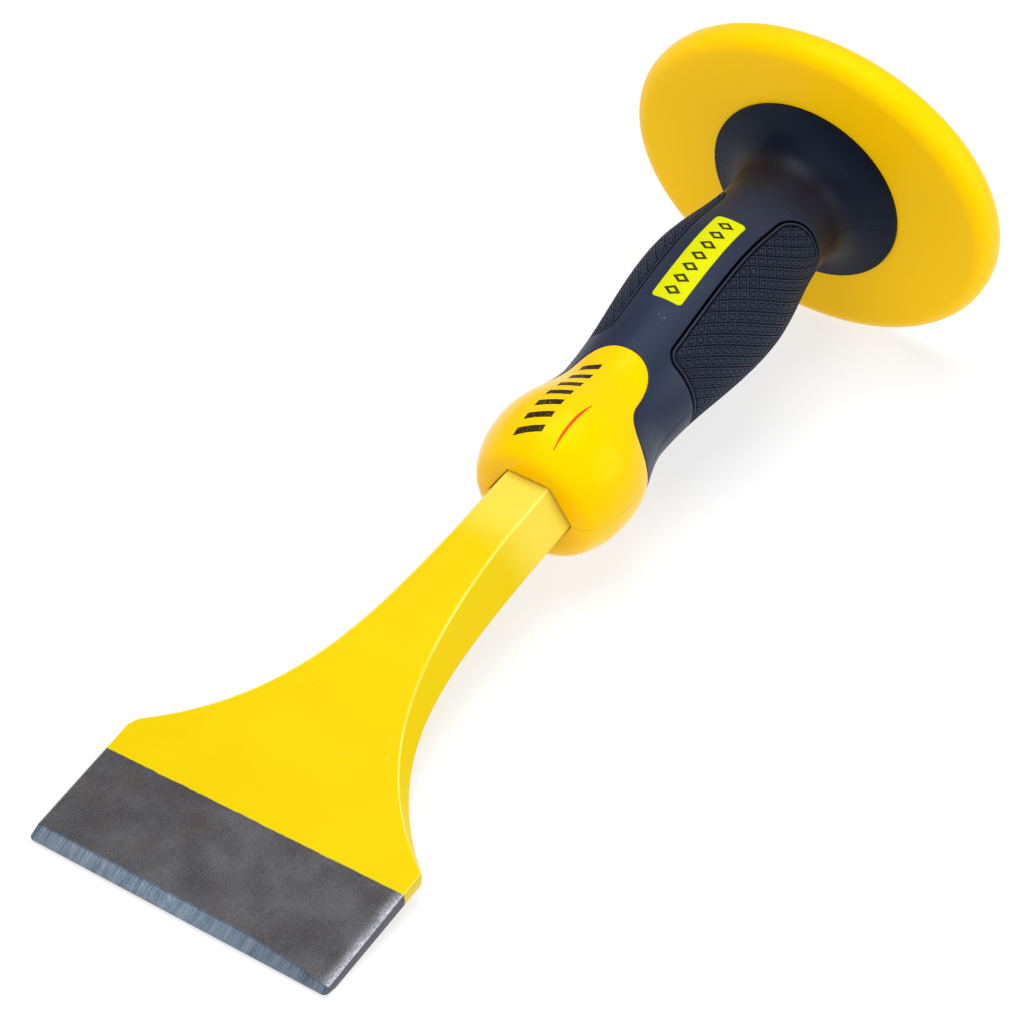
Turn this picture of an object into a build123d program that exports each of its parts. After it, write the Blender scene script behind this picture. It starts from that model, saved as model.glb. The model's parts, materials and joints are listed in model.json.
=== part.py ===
"""Guarded floor chisel: a wide forged blade on a hexagonal bar, with a moulded hand guard.

The tool lies on a bench, as it rests in use. Z is up, X runs along the tool from the
cutting edge to the strike face, and Y runs across the blade. The origin is on the
bench, midway along the tool. The tool leans back a little, because it rests on the
lower heel of its cutting edge and on the rim of its guard.
"""
from build123d import *
from math import asin, atan2, cos, hypot, pi, sin, sqrt
import os

# Overall sizes, in mm. Stations are measured along the tool's axis from the cutting edge.
overall_length = 254.0
blade_width = 70.0
handle_length = 111.9

# Blade: a double bevel, a flat steel plate, and a flare that grows into the bar.
edge_land = 0.3
bevel_length = 3.2
heel_thickness = 2.6
shoulder_at = 32.0
shoulder_thickness = 3.4
flare_to_nose = 0.3
flare_power = 3.6
flare_steps = 10
thickening_share = 5 / 6
flank_run = 0.15

# Bar: hexagonal stock from the flare to the strike face.
bar_flats = 17.2
strike_reach = 7.3
strike_chamfer = 2.2

# Handle outline. Each named station has a run from the nose, as a share of the handle's
# length, and a wall over the bar's corners.
nose_wall = 0.67
brow_share, brow_wall = 0.042, 5.97
bulb_share, bulb_wall = 0.1224, 7.47
waist_share, waist_wall = 0.2878, 3.57
swell_share, swell_wall = 0.6363, 7.17
neck_share, neck_wall = 0.9088, 3.27
flange_wall = 13.37
flange_lip = 0.7
brow_slope = 0.42
flange_slope = 4.5

# Handle core: a tube on the bar, with a nose, two tongues and a rear collar.
core_wall = 1.27
nose_share = 0.1787
tongue_share = 0.3432
tongue_width = 18.4
tongue_root_radius = 5.0
collar_step = 4.3
collar_length = 3.5
collar_round = 1.2

# Grip pads: textured inserts in pockets down each side of the grip.
pad_front_share, pad_rear_share = 0.3727, 0.8445
pad_front_corner, pad_rear_corner = 3.2, 7.5
pad_depth = 2.0
pad_gap = 0.45
pad_to_badge = 3.5

# Badge: a plain label plate let into the top of the grip.
badge_share = 0.5961
badge_length, badge_width = 27.0, 7.4
badge_corner = 1.3
badge_depth = 2.2

# Guard: an oval disc that shields the hand.
guard_width, guard_height = 91.0, 78.0
guard_thickness = 9.0
guard_round = 4.0

# Radii that follow from the bar.
bar_half_flats = bar_flats / 2
bar_corner_radius = bar_flats / sqrt(3)
strike_radius = bar_half_flats - strike_chamfer / 2
core_radius = bar_corner_radius + core_wall
collar_radius = core_radius + collar_step
nose_radius = bar_corner_radius + nose_wall
brow_radius = bar_corner_radius + brow_wall
bulb_radius = bar_corner_radius + bulb_wall
waist_radius = bar_corner_radius + waist_wall
swell_radius = bar_corner_radius + swell_wall
neck_radius = bar_corner_radius + neck_wall
flange_radius = bar_corner_radius + flange_wall
badge_seat = swell_radius - badge_depth
pad_margin = badge_width / 2 + pad_to_badge
clear_of_grip = 2 * flange_radius

# Stations that follow from the lengths. The handle is placed from the strike face.
collar_at = overall_length - strike_reach - collar_length
guard_at = collar_at - guard_thickness
nose_at = guard_at - handle_length
bar_at = nose_at - flare_to_nose
flare_length = bar_at - shoulder_at
flange_at = guard_at - flange_lip
brow_at = nose_at + brow_share * handle_length
bulb_at = nose_at + bulb_share * handle_length
waist_at = nose_at + waist_share * handle_length
swell_at = nose_at + swell_share * handle_length
neck_at = nose_at + neck_share * handle_length
sleeve_at = nose_at + nose_share * handle_length
tongue_centre_at = nose_at + tongue_share * handle_length - tongue_width / 2
pad_front_at = nose_at + pad_front_share * handle_length
pad_rear_at = nose_at + pad_rear_share * handle_length
badge_at = nose_at + badge_share * handle_length

# The tool rests on the lower heel of the bevel and on the front rounding of the guard.
rim_round = min(guard_round, 0.45 * guard_thickness)
rim_run = guard_at + rim_round - bevel_length
rim_drop = guard_height / 2 - rim_round - heel_thickness / 2
lean = atan2(rim_drop, rim_run) + asin(rim_round / hypot(rim_run, rim_drop))
lift = heel_thickness / 2 * cos(lean) - bevel_length * sin(lean)
footprint = overall_length * cos(lean) + strike_radius * sin(lean)

# Work planes on the tool's axis: plan looks down on the tool, side looks at it from beside,
# and cross looks along it from the cutting edge.
edge_middle = Vector(-footprint / 2, 0, lift)
forward = Vector(cos(lean), 0, sin(lean))
across = Vector(0, 1, 0)
upward = Vector(-sin(lean), 0, cos(lean))
plan = Plane(origin=edge_middle, x_dir=forward, z_dir=upward)
side = Plane(origin=edge_middle, x_dir=forward, z_dir=-across)
cross = Plane(origin=edge_middle, x_dir=across, z_dir=forward)
tool_axis = Axis(edge_middle, forward)


def ease(t):
    """Smooth step from 0 to 1, level at both ends."""
    return t * t * (3 - 2 * t)


def blade_corners(half_width, half_thickness, run):
    """Six corners of a blade section: flat top and bottom, and two facets to each side's corner."""
    return [
        (half_width, 0),
        (half_width - run, half_thickness),
        (run - half_width, half_thickness),
        (-half_width, 0),
        (run - half_width, -half_thickness),
        (half_width - run, -half_thickness),
    ]


def handle_outline(inset):
    """Outline of the handle, from nose to flange, moved towards the axis by inset."""
    Spline(
        (nose_at, nose_radius - inset),
        (brow_at, brow_radius - inset),
        (bulb_at, bulb_radius - inset),
        (waist_at, waist_radius - inset),
        (swell_at, swell_radius - inset),
        (neck_at, neck_radius - inset),
        (flange_at, flange_radius - inset),
        tangents=[(0, 1), (1, brow_slope), (1, 0), (1, 0), (1, 0), (1, 0), (1, flange_slope)],
    )


# Whole outer form of the handle, which the core, the sleeve and the pads share out.
with BuildPart() as handle_form:
    with BuildSketch(side):
        with BuildLine():
            handle_outline(0)
            Polyline(
                (flange_at, flange_radius),
                (guard_at, flange_radius),
                (guard_at, 0),
                (nose_at, 0),
                (nose_at, nose_radius),
            )
        make_face()
    revolve(axis=tool_axis)

# The same form one pad depth smaller: the floor of the pad pockets.
with BuildPart() as pad_floor:
    with BuildSketch(side):
        with BuildLine():
            handle_outline(pad_depth)
            Polyline(
                (flange_at, flange_radius - pad_depth),
                (flange_at, 0),
                (nose_at, 0),
                (nose_at, nose_radius - pad_depth),
            )
        make_face()
    revolve(axis=tool_axis)

# What lies ahead of the sleeve, seen in plan: the nose, and a round-ended tongue behind it.
with BuildPart() as nose_window:
    with BuildSketch(plan) as nose_plan:
        with Locations((sleeve_at / 2, 0)):
            Rectangle(sleeve_at, 2 * clear_of_grip)
        with Locations((tongue_centre_at, 0)):
            Circle(tongue_width / 2)
        with Locations(((sleeve_at + tongue_centre_at) / 2, 0)):
            Rectangle(tongue_centre_at - sleeve_at, tongue_width)
        roots = nose_plan.vertices().filter_by_position(Axis.X, sleeve_at - 0.01, sleeve_at + 0.01)
        fillet(roots.filter_by_position(Axis.Y, -tongue_width, tongue_width), tongue_root_radius)
    extrude(amount=clear_of_grip, both=True)

# One piece of forged steel: blade, flare, hexagonal bar and strike face.
with BuildPart() as chisel_bar:
    for step in range(flare_steps + 1):
        along = (step / flare_steps) ** 2
        half_width = bar_corner_radius + (blade_width / 2 - bar_corner_radius) * (1 - along) ** flare_power
        grown = min(along / thickening_share, 1)
        half_thickness = shoulder_thickness / 2 + (bar_half_flats - shoulder_thickness / 2) * ease(grown)
        run = flank_run + (bar_corner_radius / 2 - flank_run) * sqrt(grown)
        with BuildSketch(cross.offset(shoulder_at + flare_length * along)):
            with BuildLine():
                Polyline(*blade_corners(half_width, half_thickness, run), close=True)
            make_face()
    loft()
    plate = ((shoulder_at, shoulder_thickness), (bevel_length, heel_thickness))
    bevel = ((bevel_length, heel_thickness), (0, edge_land))
    for wedge in (plate, bevel):
        for at, thickness in wedge:
            with BuildSketch(cross.offset(at)):
                with BuildLine():
                    Polyline(*blade_corners(blade_width / 2, thickness / 2, flank_run), close=True)
                make_face()
        loft(ruled=True)
    with BuildSketch(cross.offset(bar_at)):
        RegularPolygon(bar_half_flats, 6, major_radius=False)
    extrude(amount=overall_length - bar_at)
    with BuildSketch(side):
        with BuildLine():
            Polyline(
                (overall_length, strike_radius),
                (overall_length, 2 * bar_half_flats),
                (overall_length - 2 * bar_half_flats + strike_radius, 2 * bar_half_flats),
                close=True,
            )
        make_face()
    revolve(axis=tool_axis, mode=Mode.SUBTRACT)

# Hard plastic core: tube, nose, tongues above and below, and the collar behind the guard.
with BuildPart() as handle_core:
    add(handle_form.part)
    add(nose_window.part, mode=Mode.INTERSECT)
    with BuildSketch(cross.offset(sleeve_at)):
        Circle(core_radius)
    extrude(amount=collar_at - sleeve_at)
    with BuildSketch(cross.offset(collar_at)):
        Circle(collar_radius)
    extrude(amount=collar_length)
    collar_rim = handle_core.edges().filter_by(GeomType.CIRCLE).sort_by(tool_axis)[-1]
    fillet(collar_rim, collar_round)
    with BuildSketch(cross.offset(bar_at)):
        RegularPolygon(bar_half_flats, 6, major_radius=False)
    extrude(amount=overall_length - bar_at, mode=Mode.SUBTRACT)


def pad_plan(sketch, inset):
    """Draw both pads in plan, each drawn in by inset from its pocket, with two rounded corners."""
    margin = pad_margin + inset
    for hand in (1, -1):
        with Locations(((pad_front_at + pad_rear_at) / 2, hand * (margin + clear_of_grip) / 2)):
            Rectangle(pad_rear_at - pad_front_at - 2 * inset, clear_of_grip - margin)
    corners = sketch.vertices().filter_by_position(Axis.Y, -margin - 0.01, margin + 0.01).sort_by(Axis.X)
    fillet(corners[:2], pad_front_corner - inset)
    fillet(corners[-2:], pad_rear_corner - inset)


# The two pockets that the sleeve is cut with: windows down to the pad floor.
with BuildPart() as pad_pockets:
    with BuildSketch(plan) as pocket_plan:
        pad_plan(pocket_plan, 0)
    extrude(amount=clear_of_grip, both=True)
    add(pad_floor.part, mode=Mode.SUBTRACT)

# Soft sleeve moulded over the core, which flares into a flange against the guard.
with BuildPart() as grip_sleeve:
    add(handle_form.part)
    add(nose_window.part, mode=Mode.SUBTRACT)
    add(pad_pockets.part, mode=Mode.SUBTRACT)
    with BuildSketch(cross.offset(sleeve_at)):
        Circle(core_radius)
    extrude(amount=guard_at - sleeve_at, mode=Mode.SUBTRACT)
    with BuildSketch(plan.offset(badge_seat)):
        with Locations((badge_at, 0)):
            RectangleRounded(badge_length, badge_width, badge_corner)
    extrude(amount=clear_of_grip - badge_seat, mode=Mode.SUBTRACT)

# Textured pads, which fill their pockets but for a narrow groove all round.
with BuildPart() as grip_pads:
    with BuildSketch(plan) as pads_plan:
        pad_plan(pads_plan, pad_gap)
    extrude(amount=clear_of_grip, both=True)
    add(handle_form.part, mode=Mode.INTERSECT)
    add(pad_floor.part, mode=Mode.SUBTRACT)

with BuildPart() as grip_pad_left:
    add(grip_pads.solids().sort_by(Axis.Y)[-1])

with BuildPart() as grip_pad_right:
    add(grip_pads.solids().sort_by(Axis.Y)[0])

# Plain label plate, flush with the sleeve.
with BuildPart() as badge:
    add(handle_form.part)
    with BuildSketch(plan.offset(badge_seat)):
        with Locations((badge_at, 0)):
            RectangleRounded(badge_length, badge_width, badge_corner)
    extrude(amount=clear_of_grip - badge_seat, mode=Mode.INTERSECT)

# Oval hand guard with a fully rounded rim, held between the sleeve's flange and the collar.
with BuildPart() as guard_disc:
    with BuildSketch(cross.offset(guard_at)):
        Ellipse(guard_width / 2, guard_height / 2)
        Circle(core_radius, mode=Mode.SUBTRACT)
    extrude(amount=guard_thickness)
    fillet(guard_disc.edges().filter_by(GeomType.ELLIPSE), rim_round)

os.makedirs("parts", exist_ok=True)

chisel_bar.part.label = "chisel_bar"
export_step(chisel_bar.part, "parts/chisel_bar.step")
handle_core.part.label = "handle_core"
export_step(handle_core.part, "parts/handle_core.step")
grip_sleeve.part.label = "grip_sleeve"
export_step(grip_sleeve.part, "parts/grip_sleeve.step")
grip_pad_left.part.label = "grip_pad_left"
export_step(grip_pad_left.part, "parts/grip_pad_left.step")
grip_pad_right.part.label = "grip_pad_right"
export_step(grip_pad_right.part, "parts/grip_pad_right.step")
badge.part.label = "badge"
export_step(badge.part, "parts/badge.step")
guard_disc.part.label = "guard_disc"
export_step(guard_disc.part, "parts/guard_disc.step")

print(f"lean {lean * 180 / pi:.3f} degrees, lift {lift:.3f} mm, footprint {footprint:.3f} mm")
print(f"strike face centre {tuple(edge_middle + forward * overall_length)}")
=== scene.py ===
"""Looks of a guarded floor chisel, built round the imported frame.

The tool is worked out in its own coordinates: along from the cutting edge, across the blade,
and up from the tool's axis. ToolDatum places those in the frame, where the tool leans back
a little on its guard. Lengths are in metres.
"""
import json
import logging
import math
from dataclasses import dataclass, field
from enum import Enum

import bmesh
import bpy
import numpy as np
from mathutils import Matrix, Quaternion, Vector


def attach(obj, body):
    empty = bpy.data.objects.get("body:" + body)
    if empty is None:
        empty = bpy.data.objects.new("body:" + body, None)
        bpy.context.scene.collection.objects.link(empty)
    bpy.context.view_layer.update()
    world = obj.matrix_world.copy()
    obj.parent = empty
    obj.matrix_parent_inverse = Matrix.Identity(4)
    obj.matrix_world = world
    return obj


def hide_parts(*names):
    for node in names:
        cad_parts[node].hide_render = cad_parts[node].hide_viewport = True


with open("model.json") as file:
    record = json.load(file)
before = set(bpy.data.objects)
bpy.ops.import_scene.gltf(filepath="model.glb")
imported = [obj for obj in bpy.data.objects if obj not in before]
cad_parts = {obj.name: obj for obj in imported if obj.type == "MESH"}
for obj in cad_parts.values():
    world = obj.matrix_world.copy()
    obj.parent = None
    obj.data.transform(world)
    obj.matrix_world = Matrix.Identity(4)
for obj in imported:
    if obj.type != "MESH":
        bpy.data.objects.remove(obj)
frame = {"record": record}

MM = 0.001
TURN = 2 * math.pi
PARTING_REACH = 2 * MM
CHART = "chart"
WEAR_AND_SHADE = "wear"
BODY = "root"
Row = tuple[np.ndarray, np.ndarray, np.ndarray]
log = logging.getLogger("floor_chisel")


# ---------------------------------------------------------------- numbers and meshes


def ease(share: np.ndarray) -> np.ndarray:
    """Smooth step from 0 to 1, level at both ends, held outside them."""
    share = np.clip(share, 0.0, 1.0)
    return share * share * (3.0 - 2.0 * share)


def between(start: np.ndarray, end: np.ndarray, share: np.ndarray) -> np.ndarray:
    """Points that run straight from start to end as share goes from 0 to 1."""
    return start + (end - start) * share


def spread(counts: list[tuple[float, int]]) -> np.ndarray:
    """Values from 0 with even steps in each stretch.

    Args:
        counts: The end of each stretch and the number of steps in it, in order.

    Returns:
        Rising values, from 0 to the last end.
    """
    values = [np.zeros(1)]
    for end, steps in counts:
        values.append(np.linspace(values[-1][-1], end, steps + 1)[1:])
    return np.concatenate(values)


def quarter_round(radius: float, steps: int) -> list[tuple[float, float]]:
    """Points of a quarter circle that turns a wall into a top.

    Args:
        radius: Radius of the rounding.
        steps: Number of straight steps.

    Returns:
        (way in from the wall, depth below the top) from the wall to the top.
    """
    turn = np.linspace(0.0, math.pi / 2, steps + 1)
    return list(zip(radius * (1 - np.cos(turn)), radius * (1 - np.sin(turn))))


def grid_quads(rows: int, columns: int) -> np.ndarray:
    """Number the points of a grid row by row, and join each four neighbours.

    Args:
        rows: Rows of points.
        columns: Points in a row.

    Returns:
        Four point numbers for each face.
    """
    number = np.arange(rows * columns).reshape(rows, columns)
    corners = (number[:-1, :-1], number[:-1, 1:], number[1:, 1:], number[1:, :-1])
    return np.stack(corners, -1).reshape(-1, 4)


@dataclass
class Shell:
    """A surface gathered from grids of points, with a chart (UV map) and a wear value each, which on the
    sleeve and pads carries painted shade.
    """

    points: list[np.ndarray] = field(default_factory=list)
    charts: list[np.ndarray] = field(default_factory=list)
    wears: list[np.ndarray] = field(default_factory=list)
    faces: list[np.ndarray] = field(default_factory=list)
    count: int = 0

    def add_faces(self, points: np.ndarray, chart: np.ndarray, wear: np.ndarray, faces: np.ndarray) -> None:
        """Add loose quads.

        Args:
            points: Places, one row each.
            chart: Chart place of each point.
            wear: Wear value of each point, which on the sleeve and pads carries painted shade.
            faces: Four point numbers for each face.
        """
        self.points.append(points.reshape(-1, 3))
        self.charts.append(chart.reshape(-1, 2))
        self.wears.append(wear.reshape(-1))
        self.faces.append(faces + self.count)
        self.count += len(self.points[-1])

    def add_grid(self, points: np.ndarray, chart: np.ndarray, wear: np.ndarray | None = None) -> None:
        """Add a grid, in which each four neighbouring points make one face.

        Args:
            points: Places, as (rows, columns, 3).
            chart: Chart places, as (rows, columns, 2).
            wear: Wear values, as (rows, columns), or None for none. On the sleeve and pads they carry
                painted shade.
        """
        rows, columns = points.shape[:2]
        wear = np.zeros((rows, columns)) if wear is None else wear
        self.add_faces(points, chart, wear, grid_quads(rows, columns))

    def finish(self, name: str, crease: float = 180.0) -> bpy.types.Object:
        """Make the object: seams and poles are merged, and faces turned outwards.

        Args:
            name: Name of the piece.
            crease: Angle in degrees above which an edge is shaded as a corner.

        Returns:
            The new object, at the origin.
        """
        quads = np.concatenate(self.faces)
        corner = quads.ravel()
        mesh = bpy.data.meshes.new(name)
        mesh.from_pydata(np.concatenate(self.points).tolist(), [], quads.tolist())
        chart = mesh.uv_layers.new(name=CHART)
        chart.uv.foreach_set("vector", np.concatenate(self.charts)[corner].astype(np.float32).ravel())
        wear = mesh.attributes.new(WEAR_AND_SHADE, "FLOAT", "CORNER")
        wear.data.foreach_set("value", np.concatenate(self.wears)[corner].astype(np.float32))
        shape = bmesh.new()
        shape.from_mesh(mesh)
        bmesh.ops.remove_doubles(shape, verts=shape.verts, dist=2e-6)
        bmesh.ops.recalc_face_normals(shape, faces=shape.faces)
        shape.to_mesh(mesh)
        shape.free()
        mesh.polygons.foreach_set("use_smooth", np.ones(len(mesh.polygons), bool))
        if crease < 180.0:
            mesh.set_sharp_from_angle(angle=math.radians(crease))
        mesh.update()
        piece = bpy.data.objects.new(name, mesh)
        bpy.context.scene.collection.objects.link(piece)
        return piece


def settle(piece: bpy.types.Object, node: str, finish: "Finish") -> bpy.types.Object:
    """Put a finished piece on its body, in place of its CAD node, and dress it.

    Args:
        piece: The piece.
        node: Name of the CAD node that it stands for.
        finish: The finish that it gets.

    Returns:
        The piece.
    """
    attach(piece, BODY)
    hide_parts(node)
    piece.data.materials.append(finish.material())
    return piece


# ---------------------------------------------------------------- shared geometry


@dataclass(frozen=True)
class ToolDatum:
    """Where the tool's own coordinates lie in the frame."""

    edge: np.ndarray
    forward: np.ndarray
    length: float = 254.0 * MM

    @classmethod
    def read(cls, record: dict) -> "ToolDatum":
        """Work the datum out from the record's strike face.

        Args:
            record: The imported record.

        Returns:
            The datum, with its edge at the middle of the cutting edge.
        """
        strike = next(m for m in record["mounts"] if m["name"] == "strike_face")
        forward = np.array(strike["axis"], float)
        forward /= np.linalg.norm(forward)
        return cls(np.array(strike["pos_m"], float) - cls.length * forward, forward)

    def place(self, along: np.ndarray, across: np.ndarray, up: np.ndarray) -> np.ndarray:
        """Frame points: the edge, plus each distance times its direction.

        Args:
            along: Distances from the cutting edge, forward.
            across: Distances towards +Y.
            up: Distances from the tool's axis, upward.

        Returns:
            Points, with one more axis than the distances.
        """
        directions = np.array([self.forward, (0.0, 1.0, 0.0), (-self.forward[2], 0.0, self.forward[0])])
        along, across, up = (part[..., None] for part in np.broadcast_arrays(along, across, up))
        return self.edge + along * directions[0] + across * directions[1] + up * directions[2]

    def turn(self, along: np.ndarray, angle: np.ndarray, radius: np.ndarray) -> np.ndarray:
        """Frame points at a radius from the axis, at an angle from the top towards +Y."""
        return self.place(along, radius * np.sin(angle), radius * np.cos(angle))


@dataclass
class HandleOutline:
    """The handle's profile: cubic arcs between named stations, with a set slope at each.

    Each arc is a Hermite cubic, which leaves and reaches its stations along their slopes,
    at a speed of its chord's length times the numbers in speeds.
    """

    stations: tuple[tuple[float, float], ...] = (
        (122.3, 10.6), (127.0, 15.9), (136.0, 17.4), (154.5, 13.5), (193.5, 17.1), (224.0, 13.2),
        (233.5, 23.3),
    )
    slopes: tuple[tuple[float, float], ...] = ((0, 1), (1, 0.42), (1, 0), (1, 0), (1, 0), (1, 0), (1, 4.5))
    speeds: tuple[tuple[float, float], ...] = (
        (1.43, 1.21), (1.0, 1.0), (1.03, 1.09), (1.07, 1.03), (1.03, 1.24), (1.35, 1.15),
    )
    steps: int = 240
    along: np.ndarray = field(init=False)
    radii: np.ndarray = field(init=False)
    travel: np.ndarray = field(init=False)

    def __post_init__(self) -> None:
        """Sample the arcs and their running length."""
        station = np.array(self.stations) * MM
        slope = np.array(self.slopes, float)
        slope /= np.linalg.norm(slope, axis=1)[:, None]
        chord = np.linalg.norm(np.diff(station, axis=0), axis=1)[:, None]
        speed = np.array(self.speeds)
        t = np.linspace(0.0, 1.0, self.steps, endpoint=False)[None, :, None]
        leave = (slope[:-1] * chord * speed[:, :1])[:, None]
        reach = (slope[1:] * chord * speed[:, 1:])[:, None]
        arcs = (
            (2 * t**3 - 3 * t**2 + 1) * station[:-1, None]
            + (t**3 - 2 * t**2 + t) * leave
            + (3 * t**2 - 2 * t**3) * station[1:, None]
            + (t**3 - t**2) * reach
        )
        trace = np.vstack([arcs.reshape(-1, 2), station[-1:]])
        self.along, self.radii = trace.T
        self.travel = np.concatenate([[0.0], np.cumsum(np.hypot(*np.diff(trace, axis=0).T))])

    def radius(self, along: np.ndarray) -> np.ndarray:
        """Radius at a station."""
        return np.interp(along, self.along, self.radii)

    def chart(self, along: np.ndarray, turn: np.ndarray) -> np.ndarray:
        """Chart places of points on the handle: the station, and the arc round from the top."""
        return np.stack([along, turn * self.radius(along)], -1)

    def travel_to(self, along: np.ndarray) -> np.ndarray:
        """Length of the profile from the nose to a station."""
        return np.interp(along, self.along, self.travel)

    def at_travel(self, travel: np.ndarray) -> tuple[np.ndarray, np.ndarray]:
        """Station and radius after a length of the profile."""
        return np.interp(travel, self.travel, self.along), np.interp(travel, self.travel, self.radii)


@dataclass
class NoseEdge:
    """Where the nose meets the sleeve: a tongue on top and below, and a straight ring between.

    From the side (angle 90 degrees) to the top, the root of the tongue is the curve
    sqrt(x) + sqrt(y) = 1, and its end is a quarter of a superellipse.
    """

    outline: HandleOutline
    ring_at: float = 142.3 * MM
    tongue_from: float = 150.0 * MM
    tongue_length: float = 10.7 * MM
    half_angle: float = math.radians(40.5)
    fullness: float = 2 / 2.3
    steps: int = 62

    def quarter(self) -> np.ndarray:
        """The edge from the side to the top.

        Returns:
            (station, angle) rows, evenly spaced along the edge but close together at the side.
        """
        turn = np.linspace(0.0, math.pi / 2, 400)
        side_angle = math.pi / 2 - self.half_angle
        root = np.stack([
            self.ring_at + (self.tongue_from - self.ring_at) * np.sin(turn) ** 4,
            self.half_angle + side_angle * np.cos(turn) ** 4,
        ], 1)
        end = np.stack([
            self.tongue_from + self.tongue_length * np.sin(turn) ** self.fullness,
            self.half_angle * np.cos(turn) ** self.fullness,
        ], 1)
        edge = np.vstack([root, end[1:]])
        arc = self.outline.radius(edge[1:, 0]) * np.diff(edge[:, 1])
        run = np.concatenate([[0.0], np.cumsum(np.hypot(np.diff(edge[:, 0]), arc))])
        share = run[-1] * side_spacing(self.steps)
        return np.stack([np.interp(share, run, edge[:, 0]), np.interp(share, run, edge[:, 1])], 1)

    def inward(self, edge: np.ndarray) -> np.ndarray:
        """Direction square to the edge, towards the sleeve.

        Args:
            edge: (station, angle) rows of the edge.

        Returns:
            (along, arc) rows of length 1.
        """
        arc = self.outline.radius(edge[:, 0]) * edge[:, 1]
        along_edge = np.stack([np.gradient(edge[:, 0]), np.gradient(arc)], 1)
        along_edge[0], along_edge[-1] = (0.0, -1.0), (0.0, -1.0)
        along_edge /= np.linalg.norm(along_edge, axis=1)[:, None]
        return np.stack([-along_edge[:, 1], along_edge[:, 0]], 1)


def side_spacing(steps: int) -> np.ndarray:
    """Shares from 0 to 1, even but for three close steps at 0, where the parting line runs."""
    return np.concatenate([[0.0, 0.004, 0.009], np.linspace(0.018, 1.0, steps - 2)])


def parting(arc: np.ndarray) -> np.ndarray:
    """Depth of the mould parting line: a bell curve of the distance from it along the arc."""
    return 0.13 * MM * np.exp(-((arc / (0.15 * MM)) ** 2))


@dataclass
class PadPlan:
    """Outline of a grip pad, and points set in or out from it.

    On the handle's side, a point has a station and an arc, measured round the handle from
    the side's middle. The pad's long edges keep a fixed distance from the tool's middle
    plane, so its half height is radius times (90 degrees - asin(margin / radius)).
    """

    outline: HandleOutline
    front: float = 164.0 * MM
    rear: float = 216.8 * MM
    margin: float = 7.2 * MM
    front_corner: float = 3.2 * MM
    rear_corner: float = 7.5 * MM
    end_steps: int = 62
    long_steps: int = 96

    def half_height(self, along: np.ndarray) -> np.ndarray:
        """Arc from the side's middle to the pad's long edge."""
        radius = self.outline.radius(along)
        return radius * (math.pi / 2 - np.arcsin(np.minimum(self.margin / radius, 1.0)))

    def upper(self) -> "Ring":
        """Join both ends and the long edge to the upper half of the outline.

        Returns:
            The ring from the front's middle over the top to the rear's middle.
        """
        front_end = self._end(self.front + self.front_corner, self.front_corner, -1.0)
        rear_end = self._end(self.rear - self.rear_corner, self.rear_corner, 1.0)
        long = self._long()
        parts = (front_end, long, [part[::-1] for part in rear_end])
        joined = [np.concatenate([parts[0][i], parts[1][i][1:], parts[2][i][1:]]) for i in range(4)]
        return Ring(self, joined[0], joined[1], joined[2], joined[3])

    def _end(self, corner_at: float, corner: float, way: float) -> list[np.ndarray]:
        """One end's half, from the middle to halfway round its corner.

        Args:
            corner_at: Station of the corner's centre.
            corner: Radius of the corner.
            way: -1 at the front, 1 at the rear.

        Returns:
            Stations, depths, directions and radii, as a Ring has them.
        """
        height = float(self.half_height(np.array(corner_at)))
        straight, arc = height - corner, corner * math.pi / 4
        run = side_spacing(self.end_steps) * (straight + arc)
        turn = np.clip((run - straight) / corner, 0.0, math.pi / 4)
        depth = np.where(run < straight, height - run, corner)
        at = np.full_like(run, corner_at)
        return [at, depth, np.stack([way * np.cos(turn), -np.sin(turn)], 1), np.full_like(run, corner)]

    def _long(self) -> list[np.ndarray]:
        """The long edge, from halfway round the front corner to halfway round the rear one.

        Returns:
            Stations, depths, directions and radii, as a Ring has them.
        """
        start, end = self.front + self.front_corner, self.rear - self.rear_corner
        first, last = self.front_corner * math.pi / 4, self.rear_corner * math.pi / 4
        run = np.linspace(-first, end - start + last, self.long_steps + 1)
        over = run - (end - start)
        turn = np.where(run < 0, run / self.front_corner, np.where(over > 0, over / self.rear_corner, 0.0))
        corner = np.where(run < (end - start) / 2, self.front_corner, self.rear_corner)
        at = np.clip(start + run, start, end)
        return [at, corner, np.stack([np.sin(turn), -np.cos(turn)], 1), corner]

    def inside(self, along: np.ndarray, arc: np.ndarray) -> tuple[np.ndarray, "Ring"]:
        """Where points stand to the outline.

        Args:
            along: Stations.
            arc: Arcs from the side's middle.

        Returns:
            The distance of each inside the outline, and the outline's nearest point to each.
        """
        middle = (self.front + self.rear) / 2
        way = np.where(along < middle, -1.0, 1.0)
        corner = np.where(along < middle, self.front_corner, self.rear_corner)
        from_end = np.where(along < middle, along - self.front, self.rear - along)
        depth = self.half_height(along) - np.abs(arc)
        in_corner = (from_end < corner) & (depth < corner)
        near_end = (from_end < depth) & ~in_corner
        reach = np.maximum(np.hypot(corner - from_end, corner - depth), 1e-9)
        lean = np.where(in_corner, (corner - from_end) / reach, near_end * 1.0)
        rise = np.where(in_corner, (corner - depth) / reach, (~near_end) * 1.0)
        distance = np.where(in_corner, corner - reach, np.minimum(from_end, depth))
        end_centre = np.where(along < middle, self.front + corner, self.rear - corner)
        centre_at = np.where(in_corner | near_end, end_centre, along)
        height = self.half_height(along)
        free = ease((depth - corner) / (height - corner))
        end_depth = depth + free * (self.half_height(end_centre) - height)
        centre_depth = np.where(near_end, end_depth, corner)
        return distance, Ring(self, centre_at, centre_depth, np.stack([way * lean, -rise], -1), corner)


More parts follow.
